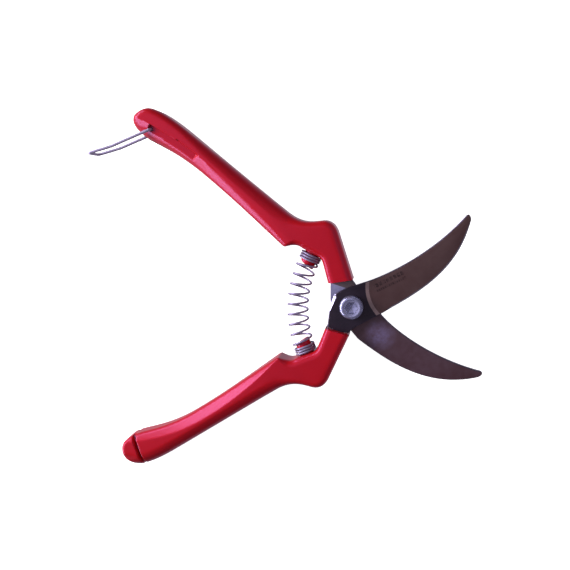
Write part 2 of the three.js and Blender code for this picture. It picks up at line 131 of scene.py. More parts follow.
@dataclass(frozen=True)
class Lever:
    """One lever's own frame, and the way from it to the row frame."""

    body: str
    side: Side
    turn: float
    blade_turn: float
    plate: tuple[float, float]
    heel: float
    sweep: float

    def place(self, points: Array) -> Array:
        """Turns lever points into the row frame.

        Args:
            points: an array of (..., 3) in millimetres.

        Returns:
            The same points in metres: mirrored in Y for the front lever, then turned about the pivot.
        """
        c, s = math.cos(math.radians(self.turn)), math.sin(math.radians(self.turn))
        x, y, z = points[..., 0], self.side.value * points[..., 1], points[..., 2]
        return np.stack([c * x - s * y, s * x + c * y, z + MID_Z], -1) * MM

    def plan(self, point: Point) -> Point:
        """A place of the row frame, in millimetres, seen in the lever's own frame.

        Args:
            point: x and y in millimetres.

        Returns:
            x and y in the lever's frame.
        """
        c, s = math.cos(math.radians(self.turn)), math.sin(math.radians(self.turn))
        return c * point[0] + s * point[1], self.side.value * (c * point[1] - s * point[0])

    def plans(self, points: Array) -> Array:
        """Places of the row frame, (n, 2) in millimetres, seen in the lever's own frame.

        Args:
            points: (n, 2) places in millimetres.

        Returns:
            the same places in the lever's frame.
        """
        c, s = math.cos(math.radians(self.turn)), math.sin(math.radians(self.turn))
        x, y = points[:, 0], points[:, 1]
        return np.stack([c * x + s * y, self.side.value * (c * y - s * x)], -1)


REAR = Lever("rear_lever", Side.REAR, -38.8, 12.8, REAR_PLATE, 4.2, 1.7)
FRONT = Lever("front_lever", Side.FRONT, 32.5, 7.0, FRONT_PLATE, 6.2, 0.0)
CLASP_HOLE = REAR.plan(tuple(x / MM for x in joint("clasp_swing")["pos_m"][:2]))


# ---------------------------------------------------------------- curves in the plane


def bezier(a: Point, b: Point, c: Point, d: Point, count: int = 40) -> Array:
    """Points of a cubic curve: the four control points weighted by Bernstein's polynomials.

    Args:
        a: the start.
        b: the first handle.
        c: the second handle.
        d: the end.
        count: how many points.

    Returns:
        (count, 2) points.
    """
    t = np.linspace(0, 1, count)[:, None]
    a, b, c, d = (np.array(p, float) for p in (a, b, c, d))
    return (1 - t) ** 3 * a + 3 * (1 - t) ** 2 * t * b + 3 * (1 - t) * t**2 * c + t**3 * d


def arc(centre: Point, radius: float, start: float, end: float, count: int = 24) -> Array:
    """Points of a circular arc, with its angles in degrees.

    Args:
        centre: the centre.
        radius: the radius.
        start: the first angle.
        end: the last angle.
        count: how many points.

    Returns:
        (count, 2) points.
    """
    a = np.radians(np.linspace(start, end, count))
    return np.array(centre) + radius * np.stack([np.cos(a), np.sin(a)], -1)


def chain(*parts: Array) -> Array:
    """Joins runs of points end to end, and drops those that repeat.

    Returns:
        the points of all the runs.
    """
    points = np.vstack([np.atleast_2d(np.array(p, float)) for p in parts])
    step = np.linalg.norm(np.diff(points, axis=0), axis=1)
    return points[np.concatenate([[True], step > 1e-6])]


def eased(corners: list[Point], radius: float, count: int = 8) -> Array:
    """A run of straight lines whose inner corners are eased by quadratic curves that start radius away.

    Args:
        corners: the corners, ends included.
        radius: how far from a corner its curve starts.
        count: points in each curve.

    Returns:
        the points of the eased run.
    """
    points = np.array(corners, float)
    parts = [points[:1]]
    t = np.linspace(0, 1, count)[:, None]
    for before, corner, after in zip(points[:-2], points[1:-1], points[2:]):
        a = corner + (before - corner) / np.linalg.norm(before - corner) * radius
        b = corner + (after - corner) / np.linalg.norm(after - corner) * radius
        parts.append((1 - t) ** 2 * a + 2 * (1 - t) * t * corner + t**2 * b)
    return chain(*parts, points[-1:])


def smooth(low: float, high: float, x: Array) -> Array:
    """0 below low, 1 above high, and a cubic ease between them.

    Args:
        low: where the ease starts.
        high: where it ends.
        x: the values.

    Returns:
        numbers from 0 to 1.
    """
    t = np.clip((x - low) / (high - low), 0, 1)
    return t * t * (3 - 2 * t)


def soft_positive(x: Array, softness: Array | float) -> Array:
    """max(x, 0) with its corner rounded over about softness: (x + sqrt(x squared + softness squared)) / 2.

    Args:
        x: the values.
        softness: how wide the rounding is.

    Returns:
        the softened values.
    """
    return (x + np.sqrt(x * x + softness**2)) / 2


class Track:
    """A line of points that can be asked for a place by its length."""

    def __init__(self, points: Array) -> None:
        """Keeps the points and the length up to each.

        Args:
            points: (n, k) points of the line.
        """
        self.points = points
        self.lengths = np.concatenate([[0], np.cumsum(np.linalg.norm(np.diff(points, axis=0), axis=1))])

    def at(self, s: Array) -> Array:
        """The points at those lengths, by straight interpolation.

        Args:
            s: lengths along the line.

        Returns:
            one point for each length.
        """
        columns = [np.interp(s, self.lengths, column) for column in self.points.T]
        return np.stack(columns, -1)

    def nearest(self, point: Point) -> float:
        """The length at which the track passes closest to a point.

        Args:
            point: the place to pass.

        Returns:
            the length there.
        """
        dense = np.linspace(0, self.lengths[-1], 4000)
        return float(dense[np.argmin(np.linalg.norm(self.at(dense) - np.array(point), axis=1))])


def distance_to(points: Array, line: Array) -> Array:
    """Distance of each point to a run of straight segments: the least distance to any segment's nearest
    place.

    Args:
        points: (n, 2) places.
        line: (m, 2) points of the run.

    Returns:
        n distances.
    """
    best = np.full(len(points), np.inf)
    for a, b in zip(line[:-1], line[1:]):
        ab = b - a
        t = np.clip(((points - a) @ ab) / max(ab @ ab, 1e-12), 0, 1)
        best = np.minimum(best, np.linalg.norm(points - a - t[:, None] * ab, axis=1))
    return best


# ---------------------------------------------------------------- meshes


def make_object(
    name: str, points: Array, faces: list, angle: float = 32.0, outward: bool = True
) -> bpy.types.Object:
    """Makes a mesh object at the origin.

    Args:
        name: the piece's name.
        points: (n, 3) places in metres, in the row frame.
        faces: lists of vertex numbers.
        angle: edges sharper than this many degrees stay sharp.
        outward: whether the faces' winding is worked out again; one made of several skins keeps theirs.

    Returns:
        The new object, linked to the scene.
    """
    mesh = bpy.data.meshes.new(name)
    mesh.from_pydata(points.tolist(), [], faces)
    work = bmesh.new()
    work.from_mesh(mesh)
    bmesh.ops.remove_doubles(work, verts=work.verts, dist=1e-6)
    bmesh.ops.dissolve_degenerate(work, edges=work.edges, dist=1e-7)
    bmesh.ops.holes_fill(work, edges=[edge for edge in work.edges if edge.is_boundary], sides=4)
    if outward:
        bmesh.ops.recalc_face_normals(work, faces=work.faces)
    work.to_mesh(mesh)
    work.free()
    mesh.shade_smooth()
    mesh.set_sharp_from_angle(angle=math.radians(angle))
    piece = bpy.data.objects.new(name, mesh)
    bpy.context.scene.collection.objects.link(piece)
    return piece


def skin(rows: Array, first: bool = True, last: bool = True) -> tuple[Array, list]:
    """Covers a grid whose rows are closed rings with quads, wound so that the enclosed volume is above 0.

    Args:
        rows: (rows, columns, 3) points.
        first: whether a fan closes the first ring.
        last: whether a fan closes the last ring.

    Returns:
        The points and the faces.
    """
    count, around, _ = rows.shape
    index = np.arange(count * around).reshape(count, around)
    near, far = index[:-1], index[1:]
    quads = np.stack([near, np.roll(near, -1, 1), np.roll(far, -1, 1), far], -1).reshape(-1, 4)
    points = rows.reshape(-1, 3)
    fans = []
    for wanted, ring in ((first, index[0]), (last, index[-1][::-1])):
        if wanted:
            pole = np.full(around, len(points))
            points = np.vstack([points, points[ring].mean(0, keepdims=True)])
            fans.append(np.stack([ring, np.roll(ring, -1), pole], -1))
    halves = np.vstack([quads[:, :3], quads[:, [0, 2, 3]], *fans])
    a, b, c = (points[halves[:, k]] for k in range(3))
    turn = 1 if np.sum(a * np.cross(b, c)) > 0 else -1
    faces = quads[:, ::turn].tolist()
    for fan in fans:
        faces += fan[:, ::turn].tolist()
    return points, faces


def merged(parts: list[tuple[Array, list]]) -> tuple[Array, list]:
    """Several sets of points and faces as one set.

    Args:
        parts: pairs of points and faces.

    Returns:
        the points and the faces of them all.
    """
    points, faces, start = [], [], 0
    for part_points, part_faces in parts:
        points.append(part_points)
        faces += [[start + i for i in face] for face in part_faces]
        start += len(part_points)
    return np.vstack(points), faces


def swept(track: Array, radius: float, around: int, guide: Array) -> tuple[Array, list]:
    """A round wire along a line of points.

    The section is a circle in the plane square to the line. Its first direction is the guide, less the part
    of it that lies along the line. The two ends are domed.

    Args:
        track: (n, 3) points of the wire's middle.
        radius: the wire's radius.
        around: the number of sides.
        guide: one direction, or one for each point, that is never along the wire.

    Returns:
        The points and the faces.
    """
    tangent = np.gradient(track, axis=0)
    tangent /= np.linalg.norm(tangent, axis=1, keepdims=True)
    guide = np.broadcast_to(guide, track.shape)
    across = guide - np.sum(guide * tangent, 1, keepdims=True) * tangent
    across /= np.linalg.norm(across, axis=1, keepdims=True)
    other = np.cross(tangent, across)
    domes = np.array([0.95, 0.8, 0.45])
    lead = np.concatenate([domes, np.zeros(len(track)), domes[::-1]])
    sign = np.concatenate([-np.ones(3), np.zeros(len(track)), np.ones(3)])
    pick = np.concatenate([np.zeros(3, int), np.arange(len(track)), np.full(3, len(track) - 1)])
    middle = track[pick] + tangent[pick] * (sign * lead * radius)[:, None]
    size = radius * np.sqrt(1 - lead**2)
    angle = np.linspace(0, 2 * math.pi, around, endpoint=False)[None, :, None]
    rows = np.cos(angle) * across[pick][:, None] + np.sin(angle) * other[pick][:, None]
    return skin(middle[:, None] + size[:, None, None] * rows)


def bored(piece: bpy.types.Object, centre: Point, radius: float) -> None:
    """Bores a round hole right through a piece, square to the middle plane, at a place in metres.

    Args:
        piece: the piece to bore.
        centre: the hole's axis.
        radius: the hole's radius in metres.
    """
    ring = arc((centre[0], centre[1]), radius, 0, 360, 33)[:-1]
    rows = np.stack([np.c_[ring, np.full(len(ring), z)] for z in (-0.01, 0.03)])
    cutter = make_object("bore", *skin(rows))
    cut = piece.modifiers.new("bore", "BOOLEAN")
    cut.operation, cut.solver, cut.object = "DIFFERENCE", "EXACT", cutter
    bpy.context.view_layer.update()
    evaluated = piece.evaluated_get(bpy.context.evaluated_depsgraph_get())
    mesh = bpy.data.meshes.new_from_object(evaluated)
    piece.modifiers.clear()
    piece.data = mesh
    bpy.data.objects.remove(cutter)
    mesh.set_sharp_from_angle(angle=math.radians(32))


# ---------------------------------------------------------------- grips


@dataclass
class Grip:
    """A moulded grip: neck, knuckle stop, handle with a sloping finger flat, and a post for the spring."""

    lever: Lever
    name: str
    node: str
    reach: float = 142.9
    outer: float = 16.1
    inner: float = 4.2
    hump: float = 10.0
    flat_slope: float = 0.8
    inner_round: float = 1.3
    outer_round: tuple[float, float] = (6.8, 6.2)
    neck_round: float = 3.2
    mouth_round: float = 1.3
    post_radius: float = 3.8
    post_lean: float = 11.5
    stop_clearance: float = 0.15
    tang_half: float = 3.3
    tang_gap: float = 0.3
    tang_reach: float = 118.0
    mouth: tuple[Point, Point] = ((-16.2, 2.0), (-7.9, 11.0))
    seat: tuple[Point, Point] = ((-26.4, 9.4), (-37.0, 7.3))
    beak: Point = (-44.4, 2.0)

    def outer_edge(self) -> Array:
        """The edge from the neck's mouth over the knuckle stop and along the handle to the far end.

        Returns:
            its points in the lever frame.
        """
        end, outer = -self.reach, self.outer
        top = outer + self.hump
        return chain(
            [self.mouth[1]],
            bezier((-28, top - 2), (-32, top + 0.6), (-35.4, top + 0.2), (-38, 23.6)),
            bezier((-38, 23.6), (-42, 19.5), (-45, outer), (-54, outer)),
            bezier((end + 26, outer), (end + 16, outer), (end + 10, outer - 0.8), (end + 6.4, outer - 1.9)),
            bezier(
                (end + 6.4, outer - 1.9), (end + 2.2, outer - 3.2), (end, outer - 6.6), (end, self.inner + 1)
            ),
        )

    def inner_edge(self) -> Array:
        """The edge from the neck's mouth over the spring seat and the beak to the far end.

        Returns:
            its points in the lever frame.
        """
        end, inner, heel = -self.reach, self.inner, self.inner - self.lever.heel
        return chain(
            eased([self.mouth[0], self.seat[0], self.seat[1]], 2.2),
            bezier(self.seat[1], (-39.6, 7.5), (-41.9, 5.3), (-43.5, 2.9)),
            bezier((-43.5, 2.9), (-44.1, 2.0), (-45.0, 1.95), (-46.4, 2.1), 10),
            bezier((-46.4, 2.1), (-66, inner - 1.1), (end + 66, inner), (end + 46, inner)),
            bezier((end + 46, inner), (end + 24, inner), (end + 16, heel), (end + 8, heel)),
            bezier((end + 8, heel), (end + 3, heel), (end, inner - 2.6), (end, inner + 1)),
        )

    def ridge(self) -> Array:
        """The line where the front face meets the finger flat, run on past both ends.

        Returns:
            its points in the lever frame.
        """
        if self.lever.side is Side.FRONT:
            return chain(
                [(-38.0, -1.2)],
                bezier((-42.3, 1.8), (-60, 7.2), (-76, 9.4), (-93, 9.4)),
                bezier((-93, 9.4), (-108, 9.4), (-118, 6.8), (-131.7, 1.4)),
                [(-146.0, -4.2)],
            )
        return chain(
            [(-38.0, 1.0)],
            bezier((-42.5, 3.6), (-62, 7.4), (-84, 9.2), (-102, 10.4)),
            bezier((-102, 10.4), (-118, 10.2), (-130, 8.4), (-146.0, 4.6)),
        )

    def ribs(self) -> tuple[Array, Array, Array]:
        """Pairs of places on the two edges, with the distance from the neck's mouth.

        Key pairs tie the corners of one edge to those of the other, and between them both run evenly. The pairs
        are closer together at the mouth, at the clasp's hole or groove and at the far end.

        Returns:
            the inner places, the outer places, and where each rib lies among the key pairs.
        """
        inner, outer = Track(self.inner_edge()), Track(self.outer_edge())
        keys = [
            ((-16.2, 2.0), (-7.9, 11.0)),
            ((-26.4, 9.4), (-33.4, 26.1)),
            ((-37.0, 7.3), (-41.0, 20.5)),
            ((-44.4, 2.0), (-52.0, 16.1)),
            ((-72.0, 3.2), (-74.0, 16.1)),
            ((-104.0, 4.2), (-105.5, 16.1)),
            ((-130.2, -1.2), (-134.2, 14.6)),
            ((-134.2, -1.6), (-138.2, 13.0)),
        ]
        a = [inner.nearest(k[0]) for k in keys] + [inner.lengths[-1]]
        b = [outer.nearest(k[1]) for k in keys] + [outer.lengths[-1]]
        counts = (44, 26, 20, 50, 56, 60, 26, 30)
        shares = [k + np.linspace(0, 1, n, endpoint=False) for k, n in enumerate(counts[:-1])]
        last = len(counts) - 1
        fan = last + np.sin(np.linspace(0, math.pi / 2, counts[-1] + 1))
        start = np.linspace(0, 0.02, 3)[1:-1]
        share = np.sort(np.concatenate([*shares, fan, start]))
        knots = np.arange(len(keys) + 1)
        s_in, s_out = np.interp(share, knots, a), np.interp(share, knots, b)
        return inner.at(s_in), outer.at(s_out), share

    def ridge_depth(self, start: Array, toward: Array) -> Array:
        """How far along each rib from the inner edge the ridge lies, below 0 where it has left the grip.

        Args:
            start: each rib's place on the inner edge.
            toward: each rib's direction.

        Returns:
            one depth for each rib.
        """
        ridge = Track(self.ridge()).at(np.linspace(0, Track(self.ridge()).lengths[-1], 1500))
        found = np.zeros(len(start))
        for k, (origin, along) in enumerate(zip(start, toward)):
            offset = ridge - origin
            cross = along[0] * offset[:, 1] - along[1] * offset[:, 0]
            flips = np.nonzero(np.diff(np.sign(cross)))[0]
            reach = offset @ along
            found[k] = reach[flips[np.argmin(np.abs(reach[flips]))]] if len(flips) else -4.0
        return found

    def face_height(self, places: Array, depth: Array, width: Array, ridge: Array, share: Array) -> Array:
        """Height of the front face above the middle plane.

        The face is level at half the grip's thickness. Inside the ridge it falls at the finger flat's slope, and
        near the outline it falls as a quarter ellipse of the distance to the outline.

        Args:
            places: (n, 2) places in the lever frame.
            depth: distance from the inner edge.
            width: length of the rib through each place.
            ridge: depth of the ridge at each place.
            share: where each rib lies among the key pairs.

        Returns:
            one height for each place.
        """
        outline = chain(self.inner_edge(), self.outer_edge()[::-1])
        clear = distance_to(places, outline)
        across = depth / np.maximum(width, 1e-6)
        in_handle = smooth(2.2, 3.6, share)
        at_end = smooth(7.0, 7.9, share)
        if self.lever.side is Side.REAR:
            at_end = np.maximum(at_end, 0.85 * smooth(4.3, 5.6, share))
        outer_a = self.neck_round + (self.outer_round[0] - self.neck_round) * in_handle
        outer_b = self.neck_round + (self.outer_round[1] - self.neck_round) * in_handle
        outer_a = outer_a + (3.0 - outer_a) * at_end
        outer_b = outer_b + (3.0 - outer_b) * at_end
        inner_a = self.neck_round + (self.inner_round - self.neck_round) * smooth(2.4, 3.0, share)
        inner_a = inner_a + (3.0 - inner_a) * at_end
        outside = smooth(0.35, 0.65, across)
        a = inner_a + (outer_a - inner_a) * outside
        b = inner_a + (outer_b - inner_a) * outside
        rounding = b * (1 - np.sqrt(np.clip(1 - (1 - np.clip(clear / a, 0, 1)) ** 2, 0, 1)))
        softness = 0.25 if self.lever.side is Side.FRONT else 0.3 + 1.6 * smooth(-104, -92, places[:, 0])
        height = GRIP_HALF - self.flat_slope * (soft_positive(ridge - depth, softness) - softness * 0.12)
        height = np.minimum(height, GRIP_HALF) - rounding
        return self.carved(height, places, depth, ridge)

    def carved(self, height: Array, places: Array, depth: Array, ridge: Array) -> Array:
        """The face with this grip's own cuts made in it; a plain grip has none.

        Args:
            height: height of the face so far.
            places: (n, 2) places in the lever frame.
            depth: distance from the inner edge.
            ridge: depth of the ridge at each place.

        Returns:
            the height with the cuts.
        """
        return height

    def section(self) -> tuple[Array, Array, Array, Array]:
        """Where the columns of the grid lie along a rib.

        Returns:
            For each column, the share of the inner rounding, of the run to the ridge, of the run on to the outer
            rounding, and of the outer rounding. The rounded stretches are spaced by angle.
        """
        quarter = 1 - np.cos(np.linspace(0, math.pi / 2, 8))
        to_ridge = np.array([0.14, 0.28, 0.42, 0.55, 0.66, 0.76, 0.85, 0.92, 0.965, 1.0])
        beyond = np.array([0.03, 0.08, 0.2, 0.4, 0.6, 0.8, 1.0])
        ease = np.sin(np.linspace(0, math.pi / 2, 15))[1:]
        return quarter, to_ridge, beyond, ease

    def body_rows(self) -> tuple[Array, Array]:
        """The rings round the grip, from the neck's mouth to the far end, and each rib's distance share.

        Returns:
            the rings, and where each rib lies among the key pairs.
        """
        start, end, share = self.ribs()
        width = np.linalg.norm(end - start, axis=1)
        toward = (end - start) / np.maximum(width, 1e-9)[:, None]
        toward[width < 1e-6] = toward[np.nonzero(width > 1e-6)[0][-1]]
        ridge = self.ridge_depth(start, toward)
        quarter, to_ridge, beyond, ease = self.section()
        inner_a = np.minimum(self.neck_round, width * 0.3)
        inner_a = inner_a + (np.minimum(self.inner_round, width * 0.3) - inner_a) * smooth(2.4, 3.0, share)
        handle = smooth(2.2, 3.6, share)
        outer_a = self.neck_round + (self.outer_round[0] - self.neck_round) * handle
        outer_a = np.minimum(outer_a, width * 0.52)
        middle = width - outer_a
        at = np.clip(ridge, inner_a + 0.05 * (middle - inner_a), inner_a + 0.95 * (middle - inner_a))
        columns = [inner_a[:, None] * quarter[None]]
        columns.append(inner_a[:, None] + (at - inner_a)[:, None] * to_ridge[None])
        columns.append(at[:, None] + (middle - at)[:, None] * beyond[None])
        columns.append(middle[:, None] + outer_a[:, None] * ease[None])
        depth = np.concatenate(columns, 1)
        places = start[:, None] + toward[:, None] * depth[..., None]
        shape = depth.shape
        spread = [np.broadcast_to(values[:, None], shape).ravel() for values in (width, ridge, share)]
        height = self.face_height(places.reshape(-1, 2), depth.ravel(), *spread).reshape(shape)
        front = np.concatenate([places, height[..., None]], -1)
        back = front[:, ::-1] * np.array([1.0, 1.0, -1.0])
        wall = np.array([0.6, 0.2, -0.2, -0.6])[None, :, None]
        outer_wall = np.concatenate([np.repeat(front[:, -1:, :2], 4, 1), wall * front[:, -1:, 2:]], -1)
        inner_wall = np.concatenate([np.repeat(front[:, :1, :2], 4, 1), -wall * front[:, :1, 2:]], -1)
        return np.concatenate([front, outer_wall, back, inner_wall], 1), share

    def tang_track(self) -> Array:
        """The middle line of the tang's pocket, from the mouth of the neck into the handle.

        Returns:
            its points in the lever frame.
        """
        centre = (self.outer + self.inner) / 2
        mouth = np.mean(self.mouth, 0)
        return chain(
            [mouth],
            bezier((-25, 15.3), (-30.5, 19), (-35, 18.6), (-39.5, 15)),
            bezier((-39.5, 15), (-45, 10.8), (-49, centre), (-56, centre)),
            [(-self.tang_reach, centre)],
        )

    def mouth_rows(self, ring: Array) -> Array:
        """The rounded lip of the neck, its end face, and the tang's pocket.

        The lip's rings are the neck's first ring drawn in along its own normals by r(1 - cos a) and moved out by
        r sin a. The pocket is a rectangle carried along the tang's middle line.

        Args:
            ring: the neck's first ring.

        Returns:
            the rings, from the lip to the end of the pocket.
        """
        a, b = np.array(self.mouth[0]), np.array(self.mouth[1])
        rib = (b - a) / np.linalg.norm(b - a)
        out = np.array([rib[1], -rib[0]])
        centre = (a + b) / 2
        flat = np.stack([(ring[:, :2] - centre) @ rib, ring[:, 2]], -1)
        step = np.roll(flat, -1, 0) - np.roll(flat, 1, 0)
        normal = np.stack([step[:, 1], -step[:, 0]], -1)
        normal /= np.maximum(np.linalg.norm(normal, axis=1, keepdims=True), 1e-9)
        if np.mean(np.sum(normal * flat, 1)) < 0:
            normal = -normal
        base = (ring[:, :2] - centre) @ out
        rows = []
        r = self.mouth_round
        for angle in np.radians((18, 36, 54, 72, 90)):
            drawn = flat - normal * r * (1 - math.cos(angle))
            rows.append((drawn, base * math.cos(angle) ** 2 - r + r * math.sin(angle)))
        face = rows[-1][0]
        low, high = self.lever.plate[0] - self.tang_gap, self.lever.plate[1] + self.tang_gap
        half = np.array([self.tang_half, (high - low) / 2])
        middle = np.array([0.0, (high + low) / 2])
        ray = face - middle
        slot = middle + ray / np.maximum(np.max(np.abs(ray) / half, axis=1), 1e-9)[:, None]
        for blend in (0.08, 0.5, 1.0):
            rows.append((face + (slot - face) * blend, np.zeros(len(face))))
        plane = [np.c_[centre + f[:, :1] * rib + d[:, None] * out, f[:, 1]] for f, d in rows]
        track = Track(self.tang_track())
        for s in np.linspace(0, track.lengths[-1], 40)[1:]:
            here, ahead = track.at(np.array([s - 0.1, s + 0.1]))
            along = (ahead - here) / max(np.linalg.norm(ahead - here), 1e-9)
            side = np.array([along[1], -along[0]])
            side = side if side @ rib > 0 else -side
            plane.append(np.c_[track.at(np.array([s])) + slot[:, :1] * side, slot[:, 1]])
        return np.stack(plane)

    def post(self) -> tuple[Array, list]:
        """The spring's post: a round peg that leans towards the pivot, cut off along a slanted plane.

        The plane passes the pivot and lies off the handle's axis by the closing slant, tilted the other way from
        the plane where the two levers meet, so the peg ends about 3 mm short of the CAD's.

        At each angle round the peg its height is where a line along its axis meets the plane, and the rim is
        eased by drawing the last rings in.

        Returns:
            the points and the faces.
        """
        seat = (np.array(self.seat[0]) + np.array(self.seat[1])) / 2
        lean = math.radians(self.post_lean - 90)
        axis = np.array([math.cos(lean), math.sin(lean), 0.0])
        across = np.array([-axis[1], axis[0], 0.0])
        a = np.linspace(0, 2 * math.pi, 48, endpoint=False)
        stop = math.radians(-closing_slant())
        plane_normal = np.array([math.sin(stop), -math.cos(stop), 0.0])
        rows = []
        ease = 0.7
        for level, share in ((0, 0), (0.12, 0), (0.3, 0), (0.6, 0), (1, 0), (1, 30), (1, 60), (1, 90)):
            inset = ease * (1 - math.cos(math.radians(share)))
            circle = np.cos(a)[:, None] * across + np.sin(a)[:, None] * [0, 0, 1.0]
            round_by = (self.post_radius - inset) * circle
            foot = np.append(seat, 0.0) + round_by
            to_plane = -(foot @ plane_normal) / (axis @ plane_normal) - self.stop_clearance
            top = to_plane - ease + ease * math.sin(math.radians(share))
            base = -2.5
            flare = 0.8 * (1 - smooth(0.0, 0.3, np.array(level))) if level < 0.3 else 0.0
            spread = round_by * (1 + flare * 0.12)
            rows.append(np.append(seat, 0.0) + spread + axis * (base + (top - base) * level)[:, None])
        return skin(np.stack(rows))

    def build(self) -> bpy.types.Object:
        """Builds the grip, with its post, and puts it on its lever.

        Returns:
            the finished piece.
        """
        rows, _ = self.body_rows()
        lip = self.mouth_rows(rows[0])
        grid = np.concatenate([lip[::-1], rows[1:]])
        points, faces = merged([skin(grid), self.post()])
        if self.lever.side is Side.FRONT:
            faces = [face[::-1] for face in faces]
        piece = make_object(self.name, self.lever.place(points), faces, 40, outward=False)
        self.finish_shape(piece)
        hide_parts(self.node)
        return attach(piece, self.lever.body)

    def finish_shape(self, piece: bpy.types.Object) -> None:
        """Work on the finished mesh; a plain grip needs none.

        Args:
            piece: the grip's piece.
        """


def closing_slant() -> float:
    """Degrees by which the plane where the posts meet lies off each handle's own axis.

    Returns:
        the angle in degrees.
    """
    shut = joint("handle_pivot")["range_deg"][1]
    return ((FRONT.turn + 180) - (REAR.turn + 180) - shut) / 2


@dataclass
class UpperGrip(Grip):
    """The grip that carries the clasp, with a shelf for each leg of the stowed clasp and a hole for its ends."""

    floor: float = 5.15
    shelf: tuple[float, float] = (-131.4, -104.9)
    shelf_slant: tuple[float, float] = (0.253, 0.126)
    ramp: float = 4.6
    hole_radius: float = 1.05

    def carved(self, height: Array, places: Array, depth: Array, ridge: Array) -> Array:
        """Lowers the flat to the shelf's floor between the hole and a ramp that rises as a quarter circle.

        Args:
            height: height of the face so far.
            places: (n, 2) places in the lever frame.
            depth: distance from the inner edge.
            ridge: depth of the ridge at each place.

        Returns:
            the height with the shelf.
        """
        from_hole = places[:, 0] + self.shelf_slant[0] * places[:, 1] - self.shelf[0]
        to_ramp = places[:, 0] + self.shelf_slant[1] * places[:, 1] - self.shelf[1]
        climb = np.clip(to_ramp / self.ramp, 0, 1)
        rise = (GRIP_HALF - self.floor) * np.sqrt(1 - (1 - climb) ** 2)
        from_axis = np.linalg.norm(places - np.array(CLASP_HOLE), axis=1)
        start = 4.0 * np.minimum(1 - smooth(-0.5, 0.0, from_hole), smooth(1.35, 2.1, from_axis))
        wall = 6.0 * smooth(0.28, 0.0, ridge - depth)
        return np.minimum(height, self.floor + rise + start + wall)

    def finish_shape(self, piece: bpy.types.Object) -> None:
        """Bores the hole for the clasp's ends.

        Args:
            piece: the grip's piece.
        """
        hole = self.lever.place(np.array([CLASP_HOLE[0], CLASP_HOLE[1], 0.0]))
        bored(piece, (hole[0], hole[1]), self.hole_radius * MM)


@dataclass
class LowerGrip(Grip):
    """The grip that the clasp fastens over, with a groove across each face of its end."""

    groove: tuple[Point, Point] = ((-132.5, 0.6), (-135.1, 11.9))
    groove_half: float = 0.8
    groove_depth: float = 2.2

    def carved(self, height: Array, places: Array, depth: Array, ridge: Array) -> Array:
        """Cuts the groove: full depth within its half width, with a steep wall and an eased lip.

        Args:
            height: height of the face so far.
            places: (n, 2) places in the lever frame.
            depth: distance from the inner edge.
            ridge: depth of the ridge at each place.

        Returns:
            the height with the groove.
        """
        a, b = (np.array(p) for p in self.groove)
        along = (b - a) / np.linalg.norm(b - a)
        off = (places - a) @ np.array([along[1], -along[0]])
        wall = smooth(self.groove_half + 0.2, self.groove_half - 0.1, np.abs(off))
        lip = 0.22 * smooth(self.groove_half + 0.7, self.groove_half, np.abs(off))
        return height - self.groove_depth * wall - lip


# ---------------------------------------------------------------- blades


